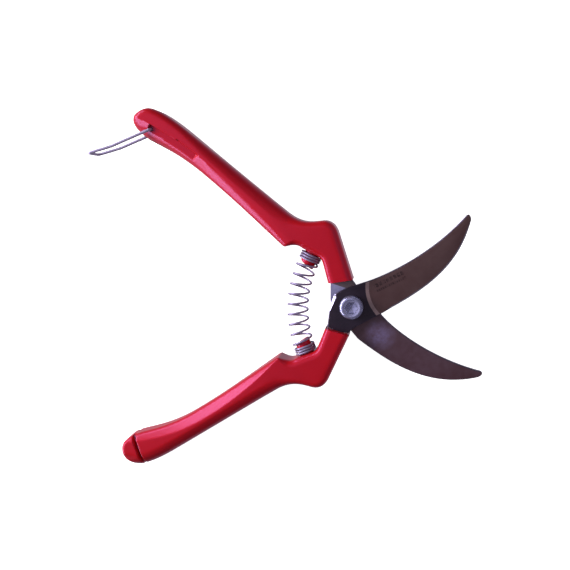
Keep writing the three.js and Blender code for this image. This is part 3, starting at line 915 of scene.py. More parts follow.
@dataclass
class Blade:
    """A blade, its pivot plate and its tang, all one plate with eased edges and ground faces."""

    lever: Lever
    name: str
    node: str
    slot: str
    reach: float = 70.0
    width: float = 13.7
    tip_round: float = 1.9
    inset: float = 0.7
    hole_radius: float = 4.15
    tang_half: float = 3.0
    tang_gap: float = 0.3
    edge_width: float = 0.35
    edge_depth: float = 0.3
    back: int = 0
    mouth: tuple[Point, Point] = ((-16.2, 2.0), (-7.9, 11.0))

    def blade_place(self, points: Array) -> Array:
        """Turns places of the blade's own frame into the lever's.

        Args:
            points: (n, 2) places.

        Returns:
            the same places in the lever frame.
        """
        c, s = math.cos(math.radians(self.lever.blade_turn)), math.sin(math.radians(self.lever.blade_turn))
        x, y = points[..., 0], points[..., 1]
        return np.stack([c * x - s * y, self.lever.side.value * (s * x + c * y)], -1)

    def own_place(self, points: Array) -> Array:
        """Turns places of the lever's frame back into the blade's own.

        Args:
            points: (n, 2) places.

        Returns:
            the same places in the blade's own frame.
        """
        c, s = math.cos(math.radians(self.lever.blade_turn)), math.sin(math.radians(self.lever.blade_turn))
        x, y = points[..., 0], self.lever.side.value * points[..., 1]
        return np.stack([c * x + s * y, c * y - s * x], -1)

    def edges(self) -> tuple[Array, Array, Array]:
        """The concave edge, the tip and the convex edge, in the blade's own frame.

        Returns:
            the points of the three.
        """
        sweep, reach, back = self.lever.sweep, self.reach, 2 - self.width
        end = np.array([reach, 0.4 - 0.35 * sweep])
        low = np.array([reach, 0.4 - 1.75 * self.tip_round - 0.38 * sweep])
        bend = (0.3 * reach, 2 - 1.8 * sweep), (0.65 * reach, -4 - sweep)
        concave = bezier((12, 5.8 - sweep), *bend, tuple(end), 90)
        convex = bezier(
            (10, back - 0.95 * sweep),
            (0.385 * reach, back - 2.6 - 1.25 * sweep),
            (0.72 * reach, back - 7.1 - 0.95 * sweep),
            tuple(low),
            90,
        )
        ahead = [edge[-1] - edge[-2] for edge in (concave, convex)]
        noses = [
            edge[-1] + self.tip_round * step / np.linalg.norm(step)
            for edge, step in zip((concave, convex), ahead)
        ]
        return concave, bezier(tuple(end), tuple(noses[0]), tuple(noses[1]), tuple(low), 22), convex

    def mouth_point(self, across: float, out: float) -> Point:
        """A place near the neck's mouth: across it towards the grip's outer side, and out of it.

        Args:
            across: how far across the mouth.
            out: how far out of it.

        Returns:
            the place in the lever frame.
        """
        a, b = np.array(self.mouth[0]), np.array(self.mouth[1])
        rib = (b - a) / np.linalg.norm(b - a)
        return tuple((a + b) / 2 + across * rib + out * np.array([rib[1], -rib[0]]))

    def outline(self) -> Array:
        """The outline of blade, plate and tang, in the lever's frame.

        Returns:
            its points.
        """
        concave, tip, convex = self.edges()
        edge = self.blade_place(np.vstack([concave, tip[1:-1], convex[::-1]]))
        if self.lever.side is Side.FRONT:
            edge = edge[::-1]
        half = np.linalg.norm(np.subtract(*self.mouth)) / 2 - self.inset
        track = Track(Grip(self.lever, "", "").tang_track())
        s = np.linspace(0, track.lengths[-1] - self.tang_gap, 50)
        line = track.at(s)
        along = np.gradient(line, axis=0)
        along /= np.linalg.norm(along, axis=1, keepdims=True)
        side = np.stack([-along[:, 1], along[:, 0]], -1) * self.tang_half
        head = eased([self.mouth_point(half, self.tang_gap), (-4.6, 9.3), (1, 9.6), tuple(edge[0])], 0.9)
        heel = eased(
            [
                tuple(edge[-1]),
                (3.4, -9.0),
                (0.4, -9.5),
                (-3.4, -9.7),
                (-4.6, -9.2),
                (-10.2, -4.3),
                self.mouth_point(-half, self.tang_gap),
            ],
            0.4,
        )
        neck_low = self.mouth_point(-self.tang_half, self.tang_gap)
        neck_high = self.mouth_point(self.tang_half, self.tang_gap)
        tang = (line + side)[2:], (line - side)[2:][::-1]
        return chain(head, edge[1:-1], heel, [neck_low], *tang, [neck_high])

    def front_height(self, places: Array) -> Array:
        """Height of the plate's front face; a plain blade's is level.

        Args:
            places: (n, 2) places in the lever frame.

        Returns:
            one height for each place.
        """
        return np.full(len(places), self.lever.plate[1])

    def marks(self) -> list[Array]:
        """Lines across the front face where its slope or finish changes.

        Returns:
            the lines, each as its points.
        """
        return []

    def finish_of(self, places: Array) -> Array:
        """Which of the blade's finishes each place on the front face has.

        Args:
            places: (n, 2) places in the lever frame.

        Returns:
            the number of a finish for each place.
        """
        return np.zeros(len(places), int)

    def fine_places(self) -> Array:
        """Places over the blade's face, even along it and closer together near its two edges.

        Returns:
            (n, 2) places in the lever frame.
        """
        concave, _, convex = self.edges()
        v = (1 - np.cos(np.linspace(0.12, math.pi - 0.12, 13))) / 2
        grid = concave[1:-1, None] * (1 - v[None, :, None]) + convex[1:-1, None] * v[None, :, None]
        return self.blade_place(grid.reshape(-1, 2))

    def bevels(self, outline: Array) -> tuple[Array, Array]:
        """Width and depth of the eased front edge at each point of the outline.

        Args:
            outline: (n, 2) points of the outline.

        Returns:
            the widths and the depths.
        """
        return np.full(len(outline), self.edge_width), np.full(len(outline), self.edge_depth)

    def build(self) -> bpy.types.Object:
        """Builds the plate and puts it on its lever.

        The front face is a triangulation of the drawn-in outline, the lines where the face changes and the fine
        places, with each point lifted to the front height. The back face is the same outline, level. Rings of
        quads make the eased edges, the sides and the wall of the bolt's hole.

        Returns:
            the finished piece.
        """
        outline = self.outline()
        outline = self.with_crossings(outline)
        step = np.roll(outline, -1, 0) - np.roll(outline, 1, 0)
        normal = np.stack([step[:, 1], -step[:, 0]], -1)
        normal /= np.maximum(np.linalg.norm(normal, axis=1, keepdims=True), 1e-9)
        area = np.sum(outline[:, 0] * np.roll(outline[:, 1], -1) - np.roll(outline[:, 0], -1) * outline[:, 1])
        inward = -normal * np.sign(area)
        width, depth = self.bevels(outline)
        drawn = outline + inward * width[:, None]
        hole = arc((0, 0), self.hole_radius, 0, 360, 65)[:-1]
        top, flat = self.front_height(drawn), self.lever.plate[0]
        parts = [self.face(drawn, hole, True), self.face(outline + inward * self.edge_width, hole, False)]
        back = outline + inward * self.edge_width
        rows = np.stack(
            [
                np.c_[drawn, top],
                np.c_[outline, top - depth],
                np.c_[outline, np.full(len(outline), flat + self.edge_depth)],
                np.c_[back, np.full(len(outline), flat)],
            ]
        )
        parts.append(skin(rows, False, False))
        wall = np.stack([np.c_[hole, self.front_height(hole)], np.c_[hole, np.full(len(hole), flat)]])
        parts.append(skin(wall, False, False))
        points, faces = merged(parts)
        piece = make_object(self.name, self.lever.place(points), faces, 20)
        self.dress(piece)
        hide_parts(self.node)
        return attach(piece, self.lever.body)

    def with_crossings(self, outline: Array) -> Array:
        """The outline with a point added wherever one of the face's lines meets it.

        Args:
            outline: (n, 2) points of the outline.

        Returns:
            the outline with the added points.
        """
        for line in self.marks():
            ends = Track(line)
            for end in (ends.points[0], ends.points[-1]):
                after = np.roll(outline, -1, 0)
                ab = after - outline
                t = np.clip(np.sum((end - outline) * ab, 1) / np.maximum(np.sum(ab * ab, 1), 1e-12), 0, 1)
                foot = outline + ab * t[:, None]
                k = int(np.argmin(np.linalg.norm(foot - end, axis=1)))
                if 0.05 < t[k] < 0.95:
                    outline = np.insert(outline, k + 1, foot[k], axis=0)
        return outline

    def face(self, drawn: Array, hole: Array, front: bool) -> tuple[Array, list]:
        """One face of the plate, triangulated inside the outline and outside the hole.

        Args:
            drawn: the outline drawn in by the bevel.
            hole: points of the pivot hole.
            front: whether it is the front face.

        Returns:
            the points and the faces.
        """
        loops = [drawn, hole]
        points = [Vector(p) for loop in loops for p in loop]
        n, m = len(drawn), len(hole)
        edges = [(i, (i + 1) % n) for i in range(n)] + [(n + i, n + (i + 1) % m) for i in range(m)]
        if front:
            for line in self.marks():
                near = [int(np.argmin(np.linalg.norm(drawn - end, axis=1))) for end in (line[0], line[-1])]
                start = len(points)
                inner = line[1:-1]
                inner = inner[distance_to(inner, chain(drawn, drawn[:1])) > 0.25]
                points += [Vector(p) for p in inner]
                run = [near[0], *range(start, start + len(inner)), near[1]]
                edges += list(zip(run[:-1], run[1:]))
            fine = self.fine_places()
            keep = distance_to(fine, chain(drawn, drawn[:1])) > 0.25
            for line in self.marks():
                keep &= distance_to(fine, line) > 0.4
            keep &= np.linalg.norm(fine, axis=1) > self.hole_radius + 0.5
            points += [Vector(p) for p in fine[keep]]
        made = delaunay_2d_cdt(points, edges, [], 0, 1e-5)
        places = np.array([tuple(v) for v in made[0]])
        triangles = np.array([f for f in made[2]])
        middle = places[triangles].mean(1)
        kept = triangles[inside(middle, drawn) & ~inside(middle, hole)]
        height = self.front_height(places) if front else np.full(len(places), self.lever.plate[0])
        return np.c_[places, height], kept.tolist()

    def dress(self, piece: bpy.types.Object) -> None:
        """Gives each face its finish by where its middle lies.

        Args:
            piece: the blade's piece.
        """
        for finish in self.finishes():
            piece.data.materials.append(finish.material())
        polygons = piece.data.polygons
        centre = np.zeros(len(polygons) * 3, np.float32)
        normal = np.zeros(len(polygons) * 3, np.float32)
        polygons.foreach_get("center", centre)
        polygons.foreach_get("normal", normal)
        centre, normal = centre.reshape(-1, 3) / MM, normal.reshape(-1, 3)
        plan = self.lever.plans(centre[:, :2])
        edge = len(self.finishes()) - 1
        behind = np.where(normal[:, 2] < -0.99, self.back, edge)
        index = np.where(normal[:, 2] > 0.93, self.finish_of(plan), behind)
        polygons.foreach_set("material_index", index.astype(np.int32))

    def finishes(self) -> list:
        """The finishes that the faces choose from; the last is the edges'.

        Returns:
            the finishes in order.
        """
        return [BLUED_STEEL, EDGE_STEEL]


def inside(points: Array, loop: Array) -> Array:
    """Whether each point is inside a closed loop, by counting how many sides a line to its right crosses.

    Args:
        points: (n, 2) places.
        loop: points of the loop.

    Returns:
        n truths.
    """
    x, y = points[:, 0][:, None], points[:, 1][:, None]
    a, b = loop[None], np.roll(loop, -1, 0)[None]
    crosses = (a[..., 1] > y) != (b[..., 1] > y)
    rise = np.where(np.abs(b[..., 1] - a[..., 1]) < 1e-12, 1e-12, b[..., 1] - a[..., 1])
    at = a[..., 0] + (y - a[..., 1]) / rise * (b[..., 0] - a[..., 0])
    return np.sum(crosses & (x < at), 1) % 2 == 1


@dataclass
class CuttingBlade(Blade):
    """The blade in front: its face is ground away beyond an arc, and its convex edge is sharpened."""

    grind_centre: Point = (27.0, -9.2)
    grind_radius: float = 20.0
    strip: float = 1.7
    grind_depth: float = 0.5
    crown: float = 0.3
    crown_width: float = 7.0
    sharp_width: float = 0.8
    sharp_depth: float = 1.5
    neck_bevel: float = 0.9
    # The heel corner's edge: its bevel is widened, and dress paints a highlight on it.
    highlight_edge: tuple[Point, Point] = ((-10.2, -4.3), (-4.6, -9.2))

    def from_centre(self, places: Array) -> Array:
        """How far inside the arc a place is; places beyond the arc's centre are well inside.

        Args:
            places: (n, 2) places in the lever frame.

        Returns:
            one distance for each place.
        """
        own = self.own_place(places)
        off = own - np.array(self.grind_centre)
        return np.where(off[:, 0] > 0, self.grind_radius, self.grind_radius - np.linalg.norm(off, axis=1))

    def front_height(self, places: Array) -> Array:
        """Level up to the arc, down a straight slope over the strip, then a crowned face that falls to its
        edges.

        Args:
            places: (n, 2) places in the lever frame.

        Returns:
            one height for each place.
        """
        within = self.from_centre(places)
        concave, tip, convex = self.edges()
        rim = self.blade_place(chain(concave, tip, convex[::-1]))
        clear = distance_to(places, rim)
        fall = self.crown * np.clip(1 - clear / self.crown_width, 0, 1) ** 2 * smooth(self.strip, 6, within)
        return self.lever.plate[1] - self.grind_depth * np.clip(within / self.strip, 0, 1) - fall

    def marks(self) -> list[Array]:
        """The two arcs on either side of the sloping strip, from edge to edge.

        Returns:
            the lines, each as its points.
        """
        found = []
        concave, _, convex = self.edges()
        for radius in (self.grind_radius, self.grind_radius - self.strip):
            angles = []
            for edge in (concave, convex):
                track = Track(edge)
                dense = track.at(np.linspace(0, track.lengths[-1], 3000)) - np.array(self.grind_centre)
                dense = dense[dense[:, 0] < 0]
                best = dense[np.argmin(np.abs(np.linalg.norm(dense, axis=1) - radius))]
                angles.append(math.degrees(math.atan2(best[1], best[0])) % 360)
            found.append(self.blade_place(arc(self.grind_centre, radius, angles[0], angles[1], 26)))
        return found

    def bevels(self, outline: Array) -> tuple[Array, Array]:
        """The convex edge's bevel is wider and deeper, and it fades in past the heel and out at the tip.

        Args:
            outline: (n, 2) points of the outline.

        Returns:
            the widths and the depths.
        """
        width, depth = super().bevels(outline)
        _, _, convex = self.edges()
        own = self.own_place(outline)
        near = distance_to(own, convex) < 1e-3
        share = near * smooth(10.5, 16.0, own[:, 0]) * smooth(self.reach + 0.5, self.reach - 5.0, own[:, 0])
        width, depth = width + (self.sharp_width - width) * share, depth + (self.sharp_depth - depth) * share
        # The bevel widens along the heel corner's edge, which carries the painted highlight.
        corner = np.array(self.highlight_edge[1])
        off = distance_to(outline, np.array(self.highlight_edge))
        worn = smooth(0.9, 0.3, off) * smooth(9.0, 2.0, np.linalg.norm(outline - corner, axis=1))
        return width + self.neck_bevel * worn, depth + 0.6 * self.neck_bevel * worn

    def finish_of(self, places: Array) -> Array:
        """Blued plate up to the arc, then the strip, then the ground face.

        Args:
            places: (n, 2) places in the lever frame.

        Returns:
            the number of a finish for each place.
        """
        within = self.from_centre(places)
        return np.where(within <= 0, 0, np.where(within < self.strip, 1, 2))

    def dress(self, piece: bpy.types.Object) -> None:
        """Adds a painted highlight, bright steel on the wide bevel at the plate's heel corner, to the other
        finishes.

        Args:
            piece: the blade's piece.
        """
        super().dress(piece)
        piece.data.materials.append(HIGHLIGHT_STEEL.material())
        count = len(piece.data.polygons)
        centre, normal = np.zeros(count * 3, np.float32), np.zeros(count * 3, np.float32)
        index = np.zeros(count, np.int32)
        piece.data.polygons.foreach_get("center", centre)
        piece.data.polygons.foreach_get("normal", normal)
        piece.data.polygons.foreach_get("material_index", index)
        plan = self.lever.plans(centre.reshape(-1, 3)[:, :2] / MM)
        # Painted highlight: the tilted bevel faces near the heel corner get bright steel that stands in for
        # light from the left.
        highlight_faces = distance_to(plan, np.array(self.highlight_edge)) < 1.3
        tilted = (normal[2::3] < 0.93) & (normal[2::3] > 0.1)
        index[highlight_faces & tilted] = len(piece.data.materials) - 1
        piece.data.polygons.foreach_set("material_index", index)

    def finishes(self) -> list:
        """Blued plate, the strip and the ground face.

        Returns:
            the finishes in order.
        """
        return [BLUED_STEEL, GROUND_STRIP, ETCHED_STEEL, EDGE_STEEL]


@dataclass
class CounterBlade(Blade):
    """The blade behind: round the pivot, past a line from the neck end, the level plate has a painted
    reflection.
    """

    # The painted reflection patch lies past this line, on the side away from the neck.
    reflection_border: tuple[Point, Point] = ((-10.5, 11.3), (-2.8, 8.9))
    crown: float = 0.3
    crown_width: float = 6.0

    def reflection_side(self, places: Array) -> Array:
        """Signed distance from the border of the painted reflection patch, above 0 on the neck's side.

        Args:
            places: (n, 2) places in the lever frame.

        Returns:
            one distance for each place.
        """
        a, b = (np.array(self.lever.plan(p)) for p in self.reflection_border)
        along = (b - a) / np.linalg.norm(b - a)
        off = (places - a) @ np.array([-along[1], along[0]])
        return off * np.sign((np.array(self.mouth[0]) - a) @ np.array([-along[1], along[0]]))

    def front_height(self, places: Array) -> Array:
        """Level, with a blade that falls to its edges as a square of the distance.

        Args:
            places: (n, 2) places in the lever frame.

        Returns:
            one height for each place.
        """
        concave, tip, convex = self.edges()
        rim = self.blade_place(chain(concave, tip, convex[::-1]))
        clear = distance_to(places, rim)
        own = self.own_place(places)
        fall = self.crown * np.clip(1 - clear / self.crown_width, 0, 1) ** 2 * smooth(14.0, 22.0, own[:, 0])
        return self.lever.plate[1] - fall

    def finish_of(self, places: Array) -> Array:
        """Dark plate at the neck, then the painted reflection patch, then the coated blade.

        Args:
            places: (n, 2) places in the lever frame.

        Returns:
            the number of a finish for each place.
        """
        own = self.own_place(places)
        return np.where(self.reflection_side(places) > 0, 0, np.where(own[:, 0] > 0.0, 2, 1))

    def marks(self) -> list[Array]:
        """The border of the painted reflection patch.

        Returns:
            the line, as its points.
        """
        a, b = (np.array(self.lever.plan(p)) for p in self.reflection_border)
        along = (b - a) / np.linalg.norm(b - a)
        dense = a + np.linspace(-14, 14, 1200)[:, None] * along
        within = inside(dense, self.outline())
        run = dense[within]
        middle = int(np.argmin(np.linalg.norm(run - (a + b) / 2, axis=1)))
        gaps = np.nonzero(np.linalg.norm(np.diff(run, axis=0), axis=1) > 0.1)[0]
        low = max([g + 1 for g in gaps if g < middle], default=0)
        high = min([g for g in gaps if g >= middle], default=len(run) - 1)
        return [np.linspace(run[low], run[high], 12)]

    def finishes(self) -> list:
        """Dark plate, the painted reflection patch and plum coated blade.

        Returns:
            the finishes in order.
        """
        return [PLUM_PLATE, PAINTED_REFLECTION_STEEL, PLUM_STEEL, EDGE_STEEL]


# ---------------------------------------------------------------- wires


@dataclass
class ReturnSpring:
    """The spring between the posts: a helix about a bowed line, close-wound at both ends."""

    radius: float = 4.95
    wire: float = 0.54
    closed_turns: float = 2.75
    closed_pitch: float = 1.25
    open_turns: float = 9.0
    bow: float = 18.0
    seat_gap: float = 0.35
    reach_past: float = 9.0

    def axis_point(self, lever: Lever, distance: float) -> Array:
        """A place on a post's axis, at a distance from the seat, in the row frame's millimetres.

        Args:
            lever: the lever that carries the post.
            distance: how far from the seat.

        Returns:
            the place.
        """
        grip = Grip(lever, "", "")
        seat = (np.array(grip.seat[0]) + np.array(grip.seat[1])) / 2
        lean = math.radians(grip.post_lean - 90)
        place = np.append(seat + distance * np.array([math.cos(lean), math.sin(lean)]), 0.0)
        return lever.place(place) / MM

    def build(self) -> bpy.types.Object:
        """Builds the spring, bent between the two levers.

        A turn's place along the axis goes by the closed pitch over the end turns and evenly between them. The
        wire's middle is the axis point, plus the radius times cos(turn) square to the axis and sin(turn) in Z.

        Returns:
            the finished piece.
        """
        start = self.seat_gap + self.wire
        ends = [self.axis_point(REAR, start), self.axis_point(REAR, start + self.bow)]
        ends += [self.axis_point(FRONT, start + self.bow), self.axis_point(FRONT, start)]
        axis = Track(bezier(*[tuple(p[:2]) for p in ends], 400))
        length = axis.lengths[-1]
        turns = 2 * self.closed_turns + self.open_turns
        closed = self.closed_turns * self.closed_pitch
        turn = np.linspace(0, turns, int(turns * 36))
        knots = [0, self.closed_turns, turns - self.closed_turns, turns]
        s = np.interp(turn, knots, [0, closed, length - closed, length])
        centre = axis.at(s)
        along = (axis.at(np.minimum(s + 0.2, length)) - axis.at(np.maximum(s - 0.2, 0)))
        along /= np.linalg.norm(along, axis=1, keepdims=True)
        a = 2 * math.pi * turn
        side = np.stack([-along[:, 1], along[:, 0]], -1)
        radial = np.c_[side * np.cos(a)[:, None], np.sin(a)]
        line = np.c_[centre, np.full(len(s), MID_Z)] + self.radius * radial
        points, faces = swept(line, self.wire, 12, radial)
        piece = make_object("spring_coil", points * MM, faces, 60)
        piece.data.materials.append(SPRING_WIRE.material())
        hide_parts("return_spring")
        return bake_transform(piece)


@dataclass
class WireClasp:
    """The wire that swings over the other grip's end: two legs, a closed end and two inturned feet."""

    wire: float = 0.75
    reach: float = 34.5
    half_gap: float = 6.2
    knee: float = 22.0
    knee_drop: float = 0.9
    corner: float = 1.5
    foot: float = 4.0
    rest_angle: float = 199.2

    def build(self) -> bpy.types.Object:
        """Builds the clasp: straight runs with eased corners, turned about the hole to its place at rest.

        Returns:
            the finished piece.
        """
        gap = self.half_gap
        half = [(0, 0, gap - self.foot), (0, 0, gap), (self.knee, self.knee_drop, gap), (self.reach, 0, gap)]
        corners = half + [(x, y, -z) for x, y, z in half[::-1]]
        line = Track(eased(corners, self.corner, 12))
        line = line.at(np.linspace(0, line.lengths[-1], 420))
        c, s = math.cos(math.radians(self.rest_angle)), math.sin(math.radians(self.rest_angle))
        hole = np.array(joint("clasp_swing")["pos_m"]) / MM
        points, faces = swept(line, self.wire, 16, np.array([0.0, 1.0, 0.0]))
        x, y = points[:, 0], points[:, 1]
        points = np.stack([c * x - s * y, s * x + c * y, points[:, 2]], -1) + hole
        piece = make_object("clasp_wire_loop", points * MM, faces, 60)
        piece.data.materials.append(CLASP_WIRE.material())
        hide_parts("wire_clasp")
        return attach(piece, "clasp")


# ---------------------------------------------------------------- pivot


@dataclass
class Pivot:
    """The bolt, bush, washers and nut, stacked along the pivot axis."""

    shank: float = 2.5
    head: float = 5.85
    bore: float = 2.65
    socket_flats: float = 5.5
    socket_depth: float = 1.9
    nut_flats: float = 8.0
    wave: float = 0.15
    waves: int = 3
    around: int = 96

    def angles(self) -> Array:
        """The angles of the columns of every turned piece.

        Returns:
            the angles in radians.
        """
        return np.linspace(0, 2 * math.pi, self.around, endpoint=False)

    def hexagon(self, flats: float) -> Array:
        """Distance from the centre to a hexagon's side at each angle.

        Args:
            flats: the distance across flats.

        Returns:
            one distance for each angle.
        """
        sixth = math.pi / 3
        return flats / 2 / np.cos(np.mod(self.angles(), sixth) - sixth / 2)

    def rows(self, profile: list[tuple]) -> Array:
        """Rings from (radius, height) pairs, where a radius may also be one number for each angle.

        Args:
            profile: the pairs.

        Returns:
            the rings.
        """
        a = self.angles()
        radius = np.stack([np.broadcast_to(np.asarray(r, float), a.shape) for r, _ in profile])
        height = np.stack([np.broadcast_to(np.asarray(z, float), a.shape) for _, z in profile])
        return np.stack([radius * np.cos(a), radius * np.sin(a), height + MID_Z], -1)

    def piece(self, name: str, node: str, rows: Array, closed: bool) -> bpy.types.Object:
        """Makes one piece of the pivot from its rings; a closed one joins its last ring to its first.

        Args:
            name: the piece's name.
            node: the CAD node that it replaces.
            rows: its rings.
            closed: whether the last ring joins the first.

        Returns:
            the finished piece.
        """
        if closed:
            rows = np.concatenate([rows, rows[:1]])
        points, faces = skin(rows, not closed, not closed)
        made = make_object(name, points * MM, faces, 30)
        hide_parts(node)
        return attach(made, "front_lever")

    def bolt(self) -> bpy.types.Object:
        """The bolt: a round-shouldered head with a dished face, and a hexagon socket in the dish.

        Returns:
            the finished piece.
        """
        end, top = heights("pivot_bolt")
        seat = top - 3.4
        shoulder = np.radians(np.linspace(0, 90, 12))
        crest, rise = self.head - 1.5, 2.0
        profile = [(0.0, end), (self.shank - 0.4, end), (self.shank, end + 0.4), (self.shank, seat)]
        profile += [(self.head - 0.25, seat), (self.head, seat + 0.25)]
        profile += [(crest + 1.5 * math.cos(q), top - rise + rise * math.sin(q)) for q in shoulder]
        profile += [(crest - 0.2, top - 0.01), (crest - 0.4, top - 0.06)]
        profile += [(3.7, top - 0.1), (3.45, top - 0.14)]
        hexagon = self.hexagon(self.socket_flats)
        profile += [(hexagon + 0.05, top - 0.16), (hexagon, top - 0.22), (hexagon, top - self.socket_depth)]
        profile += [(hexagon * 0.9, top - self.socket_depth - 0.1), (0.0, top - self.socket_depth - 0.5)]
        made = self.piece("pivot_bolt_turned", "pivot_bolt", self.rows(profile), False)
        made.data.materials.append(ZINC.material())
        return made

    def thrust_washer(self) -> bpy.types.Object:
        """The flat washer under the rear plate, with eased rims.

        Returns:
            the finished piece.
        """
        low, high = heights("thrust_washer")
        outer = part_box("thrust_washer")[1].x / MM
        ease = 0.15
        profile = [(self.bore, low), (outer - ease, low), (outer, low + ease), (outer, high - ease)]
        profile += [(outer - ease, high), (self.bore + ease, high), (self.bore, high - ease)]
        made = self.piece("thrust_washer_turned", "thrust_washer", self.rows(profile), True)
        made.data.materials.append(ZINC.material())
        return made

    def wave_washer(self) -> bpy.types.Object:
        """The spring washer: a thin ring whose height goes up and down three times round the bolt.

        Returns:
            the finished piece.
        """
        low, high = heights("wave_washer")
        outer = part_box("wave_washer")[1].x / MM
        wave = self.wave * np.cos(self.waves * self.angles())
        half = (high - low) / 2 - self.wave
        middle = (low + high) / 2
        profile = [(self.bore, middle - half + wave), (outer - 0.08, middle - half + wave)]
        profile += [(outer, middle + wave), (outer - 0.08, middle + half + wave)]
        profile += [(self.bore, middle + half + wave)]
        made = self.piece("wave_washer_pressed", "wave_washer", self.rows(profile), True)
        made.data.materials.append(ZINC.material())
        return made

    def nut(self) -> bpy.types.Object:
        """The nut: a hexagon cut back by a cone at both faces, bored and countersunk.

        Returns:
            the finished piece.
        """
        low, high = heights("pivot_nut")
        hexagon = self.hexagon(self.nut_flats)
        rim = self.nut_flats / 2 + 0.02
        chamfer = 0.35
        slope = (hexagon - rim) * 0.55
        profile = [(self.bore, low + 0.3), (self.bore + 0.3, low), (rim - 0.1, low)]
        profile += [(np.minimum(hexagon, rim + 0.03), low + 0.04), (hexagon, low + 0.05 + slope)]
        profile += [(hexagon, high - 0.05 - slope), (np.minimum(hexagon, rim + 0.03), high - 0.04)]
        profile += [(rim - 0.1, high), (self.bore + chamfer, high), (self.bore, high - chamfer)]
        made = self.piece("pivot_nut_chamfered", "pivot_nut", self.rows(profile), True)
        made.data.materials.append(ZINC.material())
        return made

    def build(self) -> list[bpy.types.Object]:
        """Builds the turned pieces, and dresses the bush, which is kept as it is.

        Returns:
            the new pieces.
        """
        bush = frame["nodes"]["pivot_bush"]
        bush.data.materials.clear()
        bush.data.materials.append(ZINC.material())
        return [self.bolt(), self.thrust_washer(), self.wave_washer(), self.nut()]


# ---------------------------------------------------------------- finishes


class Wiring:
    """A material's or group's nodes, made and joined by short calls."""

    def __init__(self, tree: bpy.types.NodeTree) -> None:
        """Keeps the tree.

        Args:
            tree: the tree to wire.
        """
        self.tree = tree

    def add(self, kind: str, **settings: object) -> bpy.types.Node:
        """Adds a node and sets its properties.

        Args:
            kind: the node's type.

        Returns:
            the node.
        """
        node = self.tree.nodes.new(kind)
        for name, value in settings.items():
            setattr(node, name, value)
        return node

    def join(self, source: bpy.types.NodeSocket, target: bpy.types.NodeSocket) -> None:
        """Joins two sockets.

        Args:
            source: an output.
            target: an input.
        """
        self.tree.links.new(source, target)

    def math(self, operation: str, a: object, b: object = 0.0, clamp: bool = False) -> bpy.types.NodeSocket:
        """A sum of two values, each a number or a socket.

        Args:
            operation: which sum.
            a: the first value.
            b: the second value.
            clamp: whether the result is kept from 0 to 1.

        Returns:
            the result.
        """
        node = self.add("ShaderNodeMath", operation=operation, use_clamp=clamp)
        for socket, value in zip(node.inputs, (a, b)):
            if isinstance(value, bpy.types.NodeSocket):
                self.join(value, socket)
            else:
                socket.default_value = value
        return node.outputs[0]

    def mix(self, share: bpy.types.NodeSocket, a: object, b: object) -> bpy.types.NodeSocket:
        """Two colours mixed by a share.

        Args:
            share: how much of the second.
            a: the first colour.
            b: the second colour.

        Returns:
            the mixed colour.
        """
        node = self.add("ShaderNodeMix", data_type="RGBA")
        self.join(share, node.inputs["Factor"])
        for socket, value in zip((node.inputs[6], node.inputs[7]), (a, b)):
            if isinstance(value, bpy.types.NodeSocket):
                self.join(value, socket)
            else:
                socket.default_value = (*value, 1.0)
        return node.outputs[2]

    def group(self, tree: bpy.types.NodeTree, **values: object) -> bpy.types.Node:
        """Places a node group with its own values.

        Args:
            tree: the group.

        Returns:
            the node that holds it.
        """
        node = self.add("ShaderNodeGroup")
        node.node_tree = tree
        for name, value in values.items():
            socket = node.inputs[name.replace("_", " ")]
            if isinstance(value, bpy.types.NodeSocket):
                self.join(value, socket)
            else:
                socket.default_value = value
        return node


def new_group(
    name: str, inputs: list[tuple], outputs: list[str]
) -> tuple[Wiring, bpy.types.Node, bpy.types.Node]:
    """A node group with named inputs, (name, socket type, default), and float outputs.

    Args:
        name: the group's name.
        inputs: its inputs.
        outputs: the names of its outputs.

    Returns:
        its wiring, and the nodes for what goes in and what comes out.
    """
    tree = bpy.data.node_groups.new(name, "ShaderNodeTree")
    for label, kind, default in inputs:
        socket = tree.interface.new_socket(name=label, in_out="INPUT", socket_type=kind)
        if default is not None:
            socket.default_value = default
    for label in outputs:
        tree.interface.new_socket(name=label, in_out="OUTPUT", socket_type="NodeSocketFloat")
    wiring = Wiring(tree)
    return wiring, wiring.add("NodeGroupInput"), wiring.add("NodeGroupOutput")


def mottle_group() -> bpy.types.NodeTree:
    """Cloudy patches from two layers of noise, as a mask from 0 to 1.

    Returns:
        the group, made once.
    """
    if "mottle" in bpy.data.node_groups:
        return bpy.data.node_groups["mottle"]
    vector, number = "NodeSocketVector", "NodeSocketFloat"
    fields = [("Place", vector, None), ("Scale", number, 60.0), ("Contrast", number, 2.0)]
    w, given, out = new_group("mottle", fields, ["Mask"])
    layers = []
    for factor, detail in ((1.0, 3.0), (5.3, 4.0)):
        noise = w.add("ShaderNodeTexNoise")
        noise.inputs["Detail"].default_value = detail
        w.join(given.outputs["Place"], noise.inputs["Vector"])
        w.join(w.math("MULTIPLY", given.outputs["Scale"], factor), noise.inputs["Scale"])
        layers.append(noise.outputs[0])
    both = w.math("ADD", w.math("MULTIPLY", layers[0], 0.7), w.math("MULTIPLY", layers[1], 0.3))
    centred = w.math("MULTIPLY", w.math("SUBTRACT", both, 0.5), given.outputs["Contrast"])
    w.join(w.math("ADD", centred, 0.5, clamp=True), out.inputs["Mask"])
    return w.tree


